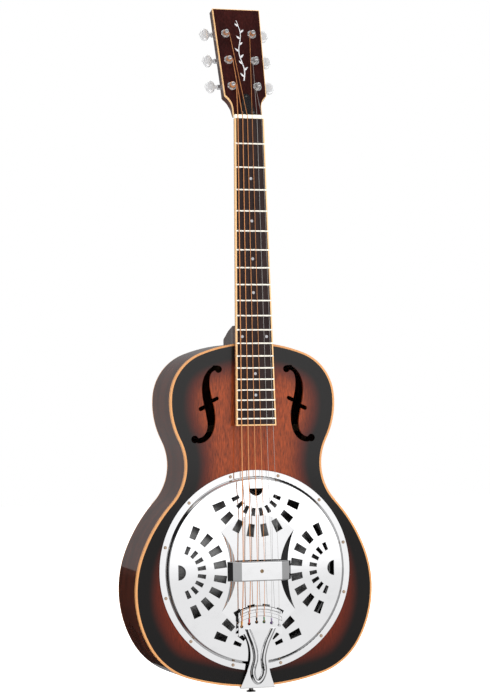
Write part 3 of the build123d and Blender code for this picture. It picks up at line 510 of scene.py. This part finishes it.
def add_tube(mesh, points, radius, sides=10):
    """A tube with closed ends along points; radius is a number or a function of the share of the way."""
    rings = []
    aside = None
    for number, point in enumerate(points):
        before = points[max(number - 1, 0)]
        after = points[min(number + 1, len(points) - 1)]
        along = (after - before).normalized()
        if aside is None:
            aside = along.orthogonal().normalized()
        aside = (aside - along * aside.dot(along)).normalized()
        across = along.cross(aside)
        share = number / (len(points) - 1)
        reach = radius(share) if callable(radius) else radius
        ring = []
        for side in range(sides):
            angle = 2 * pi * side / sides
            ring.append(mesh.verts.new(point + (aside * cos(angle) + across * sin(angle)) * reach))
        rings.append(ring)
    for lower, upper in zip(rings, rings[1:]):
        for side in range(sides):
            other = (side + 1) % sides
            mesh.faces.new((lower[side], lower[other], upper[other], upper[side]))
    mesh.faces.new(rings[0])
    mesh.faces.new(rings[-1])


def add_turned(mesh, profile, centre, axis, sides=32):
    """A turned solid: profile is (radius, height) from one end of the axis to the other."""
    aside = axis.orthogonal().normalized()
    across = axis.cross(aside)
    rings = []
    for radius, height in profile:
        if radius == 0:
            rings.append([mesh.verts.new(centre + axis * height)])
            continue
        ring = []
        for side in range(sides):
            angle = 2 * pi * side / sides
            outwards = aside * cos(angle) + across * sin(angle)
            ring.append(mesh.verts.new(centre + axis * height + outwards * radius))
        rings.append(ring)
    for lower, upper in zip(rings, rings[1:]):
        for side in range(sides):
            other = (side + 1) % sides
            if len(lower) == 1:
                mesh.faces.new((lower[0], upper[other], upper[side]))
            elif len(upper) == 1:
                mesh.faces.new((lower[side], lower[other], upper[0]))
            else:
                mesh.faces.new((lower[side], lower[other], upper[other], upper[side]))


def add_plate(mesh, outline, low, high):
    """A flat plate: the outline's points as (x, y), from z low to z high."""
    bottom = [mesh.verts.new((x, y, low)) for x, y in outline]
    top = [mesh.verts.new((x, y, high)) for x, y in outline]
    count = len(outline)
    mesh.faces.new(bottom)
    mesh.faces.new(top)
    for number in range(count):
        other = (number + 1) % count
        mesh.faces.new((bottom[number], bottom[other], top[other], top[number]))


# ---- the user's settings ----
def colour_setting(name, description, value):
    return FloatVectorProperty(name=name, description=description, subtype="COLOR", size=3, min=0.0, max=1.0,
                               default=value)


def number_setting(name, description, value, **more):
    return FloatProperty(name=name, description=description, default=value, **more)


class GuitarWoodSettings(PropertyGroup):
    """Colours of the lacquered and bare woods."""

    burst_centre: colour_setting("Burst centre", "Amber wood of the upper bout", (0.190, 0.0310, 0.0055))
    burst_low: colour_setting("Burst low", "Redder wood towards the tail", (0.115, 0.0125, 0.0022))
    burst_ring: colour_setting("Burst ring", "Red-brown ring of the burst", (0.060, 0.0075, 0.0030))
    burst_edge: colour_setting("Burst edge", "Black edge of the burst", (0.0045, 0.0038, 0.0036))
    ring_start: number_setting("Ring start", "Distance from the edge where the ring is full, mm", 27.0)
    ring_reach: number_setting("Ring reach", "Distance from the edge where the ring ends, mm", 58.0)
    edge_reach: number_setting("Edge reach", "Distance from the edge that is fully black, mm", 18.0)
    edge_fade: number_setting("Edge fade", "Distance from the edge where the black ends, mm", 34.0)
    side_wood: colour_setting("Side wood", "Stained mahogany of the sides and back", (0.020, 0.0052, 0.0030))
    side_streak: colour_setting("Side streak", "Lighter streaks of the sides", (0.090, 0.020, 0.0095))
    neck_wood: colour_setting("Neck wood", "Stained wood of the neck", (0.018, 0.0050, 0.0035))
    neck_streak: colour_setting("Neck streak", "Lighter streaks of the neck", (0.062, 0.013, 0.007))
    head_wood: colour_setting("Headstock face", "Veneer on the headstock", (0.014, 0.0028, 0.0026))
    head_streak: colour_setting("Headstock streak", "Lighter streaks of the veneer", (0.040, 0.0068, 0.0055))
    body_strip: colour_setting("Body binding", "Tan strip round the body", (0.56, 0.265, 0.092))
    body_strip_dark: colour_setting("Body binding shade", "Darker tan of the strip", (0.46, 0.20, 0.064))
    neck_strip: colour_setting("Neck binding", "Cream strip of the neck and head", (0.72, 0.46, 0.22))
    neck_strip_dark: colour_setting("Neck binding shade", "Darker cream of the strip", (0.62, 0.34, 0.135))
    board_wood: colour_setting("Board", "Rosewood of the fingerboard", (0.013, 0.0068, 0.0065))
    board_streak: colour_setting("Board streak", "Lighter lines of the rosewood", (0.030, 0.0155, 0.0140))
    inner_wood: colour_setting("Inner wood", "Bare wood inside the body", (0.13, 0.080, 0.042))
    # Painted shade: the soundwell is made matt black where the inside of the body only lies unlit; the wood
    # there is really bare.
    well_shade: colour_setting("Soundwell shade", "Matt black inside the soundwell", (0.005, 0.005, 0.005))
    maple: colour_setting("Maple", "Bridge and saddle maple", (0.66, 0.47, 0.27))


class GuitarMetalSettings(PropertyGroup):
    """Colours and polish of the metal parts."""

    chrome: colour_setting("Chrome", "Polished plating", (0.93, 0.93, 0.94))
    chrome_roughness: number_setting("Chrome roughness", "0 is a mirror", 0.035, min=0.0)
    key_roughness: number_setting("Key roughness", "Polish of the tuner keys", 0.16, min=0.0)
    steel: colour_setting("Steel", "Screws and plain strings", (0.62, 0.60, 0.57))
    bronze: colour_setting("Bronze", "Covering of the wound strings", (0.83, 0.37, 0.15))
    bronze_dark: colour_setting("Bronze shade", "Tarnish of the covering", (0.42, 0.15, 0.05))
    fret_metal: colour_setting("Fret wire", "Nickel silver", (0.90, 0.86, 0.76))
    cone_metal: colour_setting("Cone", "Spun aluminium", (0.50, 0.50, 0.50))
    # Painted shade: the strap button's plating is darkened to stand in for the dark surroundings it reflects
    # below the guitar.
    worn_nickel: colour_setting("Strap button", "Darkened nickel", (0.22, 0.21, 0.20))
    worn_screw: colour_setting("Plate screws", "Screws of the coverplate", (0.50, 0.37, 0.27))
    thick_turns: IntProperty(name="Thick turns", description="Turns of a thick string", default=3, min=1)
    thin_turns: IntProperty(name="Thin turns", description="Turns of a thin string", default=5, min=1)


class GuitarTrimSettings(PropertyGroup):
    """Colours of the nut, dots, plastics and ball ends."""

    bone: colour_setting("Nut", "Bone nut", (0.86, 0.80, 0.64))
    black: colour_setting("Black plastic", "Truss rod cover", (0.006, 0.006, 0.007))
    pearl: colour_setting("Pearl", "Dots and headstock ornament", (0.80, 0.80, 0.78))
    dot: colour_setting("Dots", "Grey pearl of the position dots", (0.34, 0.34, 0.35))
    ball_6: colour_setting("Ball 6", "Ball end of string 6", (0.62, 0.30, 0.06))
    ball_5: colour_setting("Ball 5", "Ball end of string 5", (0.60, 0.01, 0.02))
    ball_4: colour_setting("Ball 4", "Ball end of string 4", (0.01, 0.01, 0.012))
    ball_3: colour_setting("Ball 3", "Ball end of string 3", (0.02, 0.26, 0.05))
    ball_2: colour_setting("Ball 2", "Ball end of string 2", (0.16, 0.03, 0.30))
    ball_1: colour_setting("Ball 1", "Ball end of string 1", (0.62, 0.62, 0.64))


class GuitarStageSettings(PropertyGroup):
    """Camera and light."""

    camera_place: FloatVectorProperty(name="Camera place", description="Where the camera stands",
                                      subtype="TRANSLATION", unit="LENGTH",
                                      default=(-1.00567, -3.12497, 0.38532))
    heading: number_setting("Heading", "Turn of the view towards +X", radians(17.807), subtype="ANGLE")
    pitch: number_setting("Pitch", "Tilt of the view upwards", radians(1.673), subtype="ANGLE")
    roll: number_setting("Roll", "Turn of the camera about its view", radians(0.802), subtype="ANGLE")
    lens: number_setting("Lens", "Focal length", 118.2, subtype="DISTANCE_CAMERA")
    floor_colour: colour_setting("Floor", "Pale floor", (0.55, 0.55, 0.55))
    floor_size: number_setting("Floor size", "Width of the floor", 14.0, unit="LENGTH")
    key_power: number_setting("Key light", "Power of the large front light in watts", 55.0)
    top_power: number_setting("Top light", "Power of the light above in watts", 160.0)
    room: number_setting("Room", "Brightness of the soft room light", 0.92)


def coat_nodes(finish, *names):
    """Puts a finish on CAD nodes."""
    for name in names:
        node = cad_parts[name]
        if node.data.materials:
            for slot in node.material_slots:
                slot.material = finish
        else:
            node.data.materials.append(finish)


# ---- operators ----
class GuitarOperator(Operator):
    """Shared base of the guitar's operators."""

    bl_options = {"REGISTER", "UNDO"}

    def execute(self, context):
        self.make(context.scene)
        return {"FINISHED"}


class GUITAR_OT_top(GuitarOperator):
    """Sprays the sunburst on the top"""

    bl_idname = "guitar.top"
    bl_label = "Top"

    def make(self, scene):
        coat_nodes(sunburst(scene.guitar_wood), "body_top")


class GUITAR_OT_body(GuitarOperator):
    """Finishes the sides, back, bindings and the wood inside the body"""

    bl_idname = "guitar.body"
    bl_label = "Sides, back and inside"

    def make(self, scene):
        wood = scene.guitar_wood
        mahogany = stained_wood("stained_mahogany", wood.side_wood, wood.side_streak)
        coat_nodes(mahogany, "body_sides", "body_back")
        strip = edge_strip("tan_binding", wood.body_strip, wood.body_strip_dark)
        coat_nodes(strip, "top_binding", "back_binding")
        pale = [part * 0.55 for part in wood.inner_wood]
        inner = bare_wood("bare_spruce", wood.inner_wood, pale)
        coat_nodes(inner, "top_lining", "back_lining", "top_braces", "back_braces")
        coat_nodes(inner, "neck_block", "tail_block")
        # Painted shade: matt black on the soundwell stands in for the unlit inside of the body.
        painted_shade = bare_wood("blackened_plywood", wood.well_shade, (0.011, 0.011, 0.011), 220.0)
        coat_nodes(painted_shade, "soundwell")


class GUITAR_OT_resonator(GuitarOperator):
    """Finishes the cone, its bridge and the plated parts over it"""

    bl_idname = "guitar.resonator"
    bl_label = "Cone, bridge and plates"

    def make(self, scene):
        metal = scene.guitar_metal
        wood = scene.guitar_wood
        coat_nodes(spun_metal("spun_aluminium", metal.cone_metal), "resonator_cone")
        dark_maple = [part * 0.6 for part in wood.maple]
        coat_nodes(bare_wood("maple", wood.maple, dark_maple, 600.0), "biscuit", "saddle")
        steel = plated_metal("bright_steel", metal.steel, 0.22, 0.1)
        coat_nodes(steel, "biscuit_screw", "strap_button_screw", "neck_bolts", "truss_rod")
        coat_nodes(plated_metal("worn_nickel", metal.worn_screw, 0.3, 0.15), "coverplate_screws")
        plate = plated_metal("chrome_sheet", metal.chrome, metal.chrome_roughness, 0.03, 0.00002)
        coat_nodes(plate, "coverplate", "hand_rest", "tailpiece")
        # Painted shade: the strap button's nickel is darkened in place of the dark it reflects.
        coat_nodes(plated_metal("dark_nickel", metal.worn_nickel, 0.12, 0.05), "strap_button")


class GUITAR_OT_neck(GuitarOperator):
    """Finishes the neck, headstock and fingerboard"""

    bl_idname = "guitar.neck"
    bl_label = "Neck and fingerboard"

    def make(self, scene):
        wood = scene.guitar_wood
        trim = scene.guitar_trim
        coat_nodes(stained_wood("stained_neck", wood.neck_wood, wood.neck_streak, 800.0, 14.0), "neck")
        riser = stained_wood("stained_riser", wood.burst_ring, wood.side_streak, 800.0, 14.0)
        coat_nodes(riser, "fingerboard_riser")
        veneer = stained_wood("headstock_veneer", wood.head_wood, wood.head_streak, 650.0, 10.0, 0.03)
        coat_nodes(veneer, "headstock_veneer")
        strip = edge_strip("cream_binding", wood.neck_strip, wood.neck_strip_dark)
        coat_nodes(strip, "headstock_binding", "fingerboard_binding")
        coat_nodes(rosewood_board("oiled_rosewood", wood.board_wood, wood.board_streak), "fingerboard")
        nickel_silver = plated_metal("nickel_silver", scene.guitar_metal.fret_metal, 0.16, 0.08, 0.0, 0.3)
        coat_nodes(nickel_silver, "frets")
        yellowed = [part * 0.86 for part in trim.bone]
        coat_nodes(moulded("bone", trim.bone, yellowed, 0.25, 500.0, 0.4), "nut")
        cover = moulded("black_plastic", trim.black, (0.012, 0.012, 0.013), 0.2, 800.0, 0.6)
        coat_nodes(cover, "truss_rod_cover")
        coat_nodes(pearl("dot_pearl", trim.dot, (0.24, 0.28, 0.32), (0.34, 0.28, 0.28)), "position_dots")


class GUITAR_OT_tuners(GuitarOperator):
    """Finishes the tuning machines"""

    bl_idname = "guitar.tuners"
    bl_label = "Tuning machines"

    def make(self, scene):
        metal = scene.guitar_metal
        casting = metal.chrome_roughness + 0.02
        chrome = plated_metal("chrome_casting", metal.chrome, casting, 0.05, 0.00004, 0.85)
        coat_nodes(chrome, "tuner_housings", "tuner_bushings", "tuner_washers")
        satin = plated_metal("satin_chrome", metal.chrome, metal.key_roughness, 0.05, 0.00004, 0.55)
        coat_nodes(satin, *[f"tuner_key_{number}" for number in STRINGS])
        screws = plated_metal("small_screws", metal.steel, 0.25, 0.1)
        coat_nodes(screws, "tuner_screws", "truss_cover_screws")


def post_profile():
    """The post from its foot to its rounded head, with a waist that holds the string."""
    return [
        (0, POST_BOTTOM), (2.4, POST_BOTTOM), (POST_RADIUS, POST_BOTTOM + 0.5), (POST_RADIUS, 2.6),
        (2.86, 3.0), (2.8, 4.2), (2.86, 5.6), (POST_RADIUS, 6.2), (POST_RADIUS, POST_TOP - 0.8),
        (2.75, POST_TOP - 0.25), (2.3, POST_TOP), (1.0, POST_TOP - 0.1), (0, POST_TOP - 0.2),
    ]


def wheel_outline(centre):
    """The worm wheel's teeth about a centre."""
    steps = ((-0.16, WHEEL_ROOT), (-0.08, WHEEL_TIP), (0.08, WHEEL_TIP), (0.16, WHEEL_ROOT))
    outline = []
    for tooth in range(WHEEL_TEETH):
        middle = 2 * pi * (tooth + 0.5) / WHEEL_TEETH
        for offset, radius in steps:
            angle = middle + offset
            outline.append((centre.x + radius * cos(angle), centre.y + radius * sin(angle)))
    return outline


class GUITAR_OT_posts(GuitarOperator):
    """Turns the string posts with their worm wheels"""

    bl_idname = "guitar.posts"
    bl_label = "String posts"

    def make(self, scene):
        metal = scene.guitar_metal
        roughness = metal.chrome_roughness + 0.03
        chrome = plated_metal("chrome_post", metal.chrome, roughness, 0.05, 0.0, 0.85)
        for number, (_, side, row) in STRINGS.items():
            up, aside = POST_ROWS[row]
            centre = Vector((side * aside, up, 0.0))

            def build(mesh):
                add_turned(mesh, post_profile(), centre, Vector((0, 0, 1)))
                add_plate(mesh, wheel_outline(centre), WHEEL_Z - WHEEL_HALF, WHEEL_Z + WHEEL_HALF)

            new_piece(f"string_post_{number}", build, HEAD, f"post_{number}", "chrome_plate", chrome,
                      f"tuner_post_{number}")


def winding_points(diameter, turns, side, centre):
    """A helix round the post, then the way into the post's hole."""
    radius = POST_RADIUS + diameter / 2 + WINDING_GAP
    bottom = WINDING_LOW + diameter * 0.5
    top = WINDING_LOW + diameter * (0.5 + WINDING_PITCH * (turns - 1))
    start = pi if side > 0 else 0
    count = STEPS_PER_TURN * turns
    points = []
    for step in range(count + 1):
        share = step / count
        angle = side * 2 * pi * turns * share + start
        height = bottom + (top - bottom) * share
        points.append(centre + Vector((radius * cos(angle), radius * sin(angle), height)))
    last = points[-1].copy()
    inwards = centre + Vector((0, 0, POST_HOLE_Z)) - last
    for part in (0.25, 0.5):
        points.append(last + inwards * part + Vector((0, 0, inwards.z * 0.2)))
    return points


class GUITAR_OT_windings(GuitarOperator):
    """Winds each string's end on its post, in a helix that goes into the post's hole"""

    bl_idname = "guitar.windings"
    bl_label = "String windings"

    def make(self, scene):
        metal = scene.guitar_metal
        bronze = string_metal("bronze_winding", metal.bronze, metal.bronze_dark, WOUND_FADE)
        steel = string_metal("plain_winding", metal.steel, (0.35, 0.34, 0.33))
        for number, (diameter, side, row) in STRINGS.items():
            up, aside = POST_ROWS[row]
            turns = metal.thick_turns if diameter > THICK_STRING else metal.thin_turns
            points = winding_points(diameter, turns, side, Vector((side * aside, up, 0.0)))
            wound = number in WOUND_STRINGS
            slot = "wound_string" if wound else "plain_string"
            finish = bronze if wound else steel

            def build(mesh):
                add_tube(mesh, points, diameter / 2)

            new_piece(f"string_winding_{number}", build, HEAD, f"post_{number}", slot, finish)


class GUITAR_OT_ball_ends(GuitarOperator):
    """Makes the ball ends and the coloured thread on each string"""

    bl_idname = "guitar.ball_ends"
    bl_label = "Ball ends"

    def make(self, scene):
        trim = scene.guitar_trim
        for number, (diameter, _, _) in STRINGS.items():
            colour = getattr(trim, f"ball_{number}")
            shade = [part * 0.7 for part in colour]
            thread = moulded(f"thread_{number}", colour, shade, 0.5, 1800.0)
            across = (MIDDLE_OF_STRINGS - number) * SPACING_AT_TAILPIECE
            up = HOLE_V - across ** 2 / HOLE_SAG
            ball = Vector((across, up, BALL_W))

            def build_ball(mesh):
                profile = [(0.6, -1.3), (1.55, -1.3), (1.8, -1.05), (1.8, -0.5), (1.25, -0.3), (1.25, 0.3),
                           (1.8, 0.5), (1.8, 1.05), (1.55, 1.3), (0.6, 1.3), (0.6, -1.3)]
                add_turned(mesh, profile, ball, Vector((1, 0, 0)), 24)

            node = ["string_ball_ends"] if number == 6 else []
            new_piece(f"ball_end_{number}", build_ball, FACE, "guitar", "ball_brass", thread, *node)

            bar_up = FRONT_BAR_V - across ** 2 / (2 * FRONT_BAR_ARC)
            over_bar = Vector((across * 0.98, bar_up, FRONT_BAR_W + diameter / 2 + 0.3))
            over_hole = Vector((across, up + 1.0, TAILPIECE_TOP_W + 1.4))
            away = (over_bar - over_hole).normalized()
            run = [over_hole + away * (1.6 + THREAD_STEP * step) for step in range(THREAD_STEPS)]

            def build_thread(mesh):
                add_tube(mesh, run, lambda share: diameter / 2 + 0.16 + 0.05 * cos(share * 16 * pi), 12)

            new_piece(f"string_thread_{number}", build_thread, FACE, "guitar", "ball_brass", thread)


def vine_stem(share):
    """The middle of the stem at a share of its length."""
    return Vector((2.6 * sin(share * 3.2 * pi), VINE_LOW + (VINE_HIGH - VINE_LOW) * share, 0.0))


def add_vine_stem(mesh):
    """The stem, thinner towards its tip."""
    left, right = [], []
    for step in range(VINE_STEPS + 1):
        share = step / VINE_STEPS
        along = (vine_stem(min(share + 0.01, 1.0)) - vine_stem(max(share - 0.01, 0.0))).normalized()
        aside = Vector((-along.y, along.x, 0.0)) * (0.85 - 0.45 * share)
        left.append((vine_stem(share) + aside)[:2])
        right.append((vine_stem(share) - aside)[:2])
    for step in range(VINE_STEPS):
        quad = [left[step], left[step + 1], right[step + 1], right[step]]
        add_plate(mesh, quad, 0.0, VINE_PROUD)


def add_vine_leaf(mesh, leaf):
    """One pointed leaf; they stand to the left and the right by turns."""
    side = 1 if leaf % 2 else -1
    root = vine_stem(0.06 + leaf * 0.105)
    line = Vector((side * 5.6, 6.4 - leaf * 0.25, 0.0))
    across = Vector((-line.y, line.x, 0.0)).normalized()

    def edge(step, width):
        part = step / LEAF_STEPS
        return (root + line * part + across * (width * sin(pi * part ** 0.8)))[:2]

    outline = [edge(step, 1.55) for step in range(LEAF_STEPS + 1)]
    outline += [edge(step, -1.2) for step in range(LEAF_STEPS - 1, 0, -1)]
    add_plate(mesh, outline, 0.0, VINE_PROUD)


class GUITAR_OT_ornament(GuitarOperator):
    """Inlays a pearl vine in the headstock"""

    bl_idname = "guitar.ornament"
    bl_label = "Headstock ornament"

    def make(self, scene):
        shell = pearl("vine_pearl", scene.guitar_trim.pearl, (0.50, 0.60, 0.68), (0.74, 0.62, 0.62))

        def build(mesh):
            add_vine_stem(mesh)
            for leaf in range(VINE_LEAVES):
                add_vine_leaf(mesh, leaf)

        new_piece("headstock_vine", build, HEAD, "guitar", "pearl_dot", shell)


class GUITAR_OT_strings(GuitarOperator):
    """Finishes the wound and plain strings"""

    bl_idname = "guitar.strings"
    bl_label = "Strings"

    def make(self, scene):
        metal = scene.guitar_metal
        bronze = string_metal("bronze_wound", metal.bronze, metal.bronze_dark, WOUND_FADE)
        steel = string_metal("plain_steel", metal.steel, (0.35, 0.34, 0.33))
        for number in STRINGS:
            coat_nodes(bronze if number in WOUND_STRINGS else steel, f"string_{number}")


def soft_light(name, place, target, size, power):
    """A large area light that shows in no reflection."""
    data = bpy.data.lights.new(name, "AREA")
    data.shape = "RECTANGLE"
    data.size, data.size_y = size
    data.energy = power
    light = bpy.data.objects.new(name, data)
    bpy.context.scene.collection.objects.link(light)
    light.location = place
    light.rotation_mode = "QUATERNION"
    light.rotation_quaternion = (Vector(target) - Vector(place)).to_track_quat("-Z", "Y")
    light.visible_glossy = False
    light.visible_camera = False


class GUITAR_OT_stage(GuitarOperator):
    """Sets the floor, the studio light and the camera"""

    bl_idname = "guitar.stage"
    bl_label = "Stage"

    def make(self, scene):
        stage = scene.guitar_stage
        self.make_floor(scene, stage)
        self.make_flag(scene)
        self.make_room(scene, stage)
        soft_light("key_light", KEY_LIGHT_PLACE, KEY_LIGHT_TARGET, KEY_LIGHT_SIZE, stage.key_power)
        soft_light("top_light", TOP_LIGHT_PLACE, TOP_LIGHT_TARGET, TOP_LIGHT_SIZE, stage.top_power)
        self.make_camera(scene, stage)

    def make_floor(self, scene, stage):
        low = CAD_BOX[0].z - 0.0005
        half = stage.floor_size / 2
        mesh = bpy.data.meshes.new("floor")
        corners = [(-half, -half, low), (half, -half, low), (half, half, low), (-half, half, low)]
        mesh.from_pydata(corners, [], [(0, 1, 2, 3)])

        def make(finish):
            dust = finish.noise(finish.stretched(finish.place(), (3.0, 3.0, 3.0)), 3.0)
            tone = finish.shaded(stage.floor_colour, 0.98 + dust * 0.04)
            return {"Base Color": tone, "Roughness": 0.9, "Specular IOR Level": 0.0,
                    "Emission Color": (1.0, 1.0, 1.0, 1.0), "Emission Strength": 1.0}

        mesh.materials.append(new_finish("pale_floor", stage.floor_colour, make))
        floor = bpy.data.objects.new("floor", mesh)
        scene.collection.objects.link(floor)
        floor.visible_glossy = False

    def make_flag(self, scene):
        """A black flag below and behind the tail, that ends the bright reflection on the side."""
        low = CAD_BOX[0].z
        mesh = bpy.data.meshes.new("flag")
        side = FLAG_RIGHT + FLAG_RETURN
        corners = [
            (FLAG_LEFT, FLAG_FRONT, low),
            (FLAG_RIGHT, FLAG_FRONT, low),
            (FLAG_RIGHT, FLAG_BACK, low),
            (FLAG_LEFT, FLAG_BACK, low),
            (side, FLAG_BACK, low),
            (side, FLAG_BACK, FLAG_TOP),
            (FLAG_LEFT, FLAG_BACK, FLAG_TOP),
        ]
        mesh.from_pydata(corners, [], [(0, 1, 2, 3), (3, 4, 5, 6)])
        mesh.materials.append(bare_wood("black_flag", (0.003, 0.003, 0.003), (0.004, 0.004, 0.004)))
        flag = bpy.data.objects.new("flag", mesh)
        scene.collection.objects.link(flag)
        flag.visible_camera = False
        flag.visible_diffuse = False
        flag.visible_shadow = False

    def make_room(self, scene, stage):
        """White to the eye; reflections see soft boxes with dark gaps between them."""
        world = bpy.data.worlds.new("studio")
        world.use_nodes = True
        scene.world = world
        room = Finish(world.node_tree)
        direction = room.node("ShaderNodeTexCoord")
        x, y, z = room.split(direction)
        azimuth = x.maths("ARCTAN2", x, y * -1.0) / (2 * pi) + 0.5
        grey = [((degrees + 180) / 360, (level, level, level)) for degrees, level in ROOM_STOPS]
        round_room = room.node("ShaderNodeValToRGB", {"stops": grey}, {0: azimuth})
        fronts = y.rise(0.3, -0.3)
        front_fall = (0.85 + z.rise(-0.12, 0.10) * 0.65) * (1.0 - z.rise(0.33, 0.43) * 0.985)
        front_fall = front_fall * (1.0 - z.rise(-0.56, -0.64) * 0.97)
        back_fall = 1.0 - z.rise(0.6, 0.7) * 0.2
        level = front_fall * fronts + back_fall * (1.0 - fronts)
        around = room.shaded(round_room, level)
        overhead = z.rise(0.72, 0.86)
        around = room.blend(overhead, around, (0.7, 0.7, 0.7))
        under = z.rise(-0.72, -0.86)
        around = room.blend(under, around, (0.45, 0.45, 0.45))
        paths = room.node("ShaderNodeLightPath").socket.node.outputs
        glossy = Value(room, paths["Is Glossy Ray"])
        camera = Value(room, paths["Is Camera Ray"])
        soft = (stage.room, stage.room, stage.room)
        colour = room.blend(glossy, soft, around)
        colour = room.blend(camera, colour, (1.0, 1.0, 1.0))
        background = room.node("ShaderNodeBackground", None, {"Color": colour, "Strength": 1.0})
        room.node("ShaderNodeOutputWorld", None, {"Surface": background})

    def make_camera(self, scene, stage):
        data = bpy.data.cameras.new("camera")
        data.lens = stage.lens
        data.clip_end = 60.0
        camera = bpy.data.objects.new("camera", data)
        scene.collection.objects.link(camera)
        turn = Matrix.Rotation(-stage.heading, 4, "Z") @ Matrix.Rotation(radians(90) + stage.pitch, 4, "X")
        turn = turn @ Matrix.Rotation(-stage.roll, 4, "Z")
        camera.matrix_world = Matrix.Translation(stage.camera_place) @ turn
        scene.camera = camera
        scene.view_settings.view_transform = "Standard"


class GUITAR_PT_workshop(Panel):
    """The guitar's operators and settings."""

    bl_label = "Resonator guitar"
    bl_space_type = "VIEW_3D"
    bl_region_type = "UI"
    bl_category = "Guitar"

    def draw(self, context):
        for operator in OPERATORS:
            self.layout.operator(operator.bl_idname)
        for group in SETTINGS:
            box = self.layout.box()
            settings = getattr(context.scene, group)
            for name in SETTINGS[group].__annotations__:
                box.prop(settings, name)


SETTINGS = {
    "guitar_wood": GuitarWoodSettings,
    "guitar_metal": GuitarMetalSettings,
    "guitar_trim": GuitarTrimSettings,
    "guitar_stage": GuitarStageSettings,
}
OPERATORS = [
    GUITAR_OT_top,
    GUITAR_OT_body,
    GUITAR_OT_resonator,
    GUITAR_OT_neck,
    GUITAR_OT_tuners,
    GUITAR_OT_strings,
    GUITAR_OT_posts,
    GUITAR_OT_windings,
    GUITAR_OT_ball_ends,
    GUITAR_OT_ornament,
    GUITAR_OT_stage,
]


def register():
    for settings in SETTINGS.values():
        bpy.utils.register_class(settings)
    for operator in OPERATORS:
        bpy.utils.register_class(operator)
    bpy.utils.register_class(GUITAR_PT_workshop)
    for name, settings in SETTINGS.items():
        setattr(bpy.types.Scene, name, PointerProperty(type=settings))


def unregister():
    for name in SETTINGS:
        delattr(bpy.types.Scene, name)
    bpy.utils.unregister_class(GUITAR_PT_workshop)
    for operator in reversed(OPERATORS):
        bpy.utils.unregister_class(operator)
    for settings in SETTINGS.values():
        bpy.utils.unregister_class(settings)


def main():
    """Builds the whole guitar."""
    register()
    for operator in OPERATORS:
        family, action = operator.bl_idname.split(".")
        getattr(getattr(bpy.ops, family), action)()


if __name__ == "__main__":
    main()
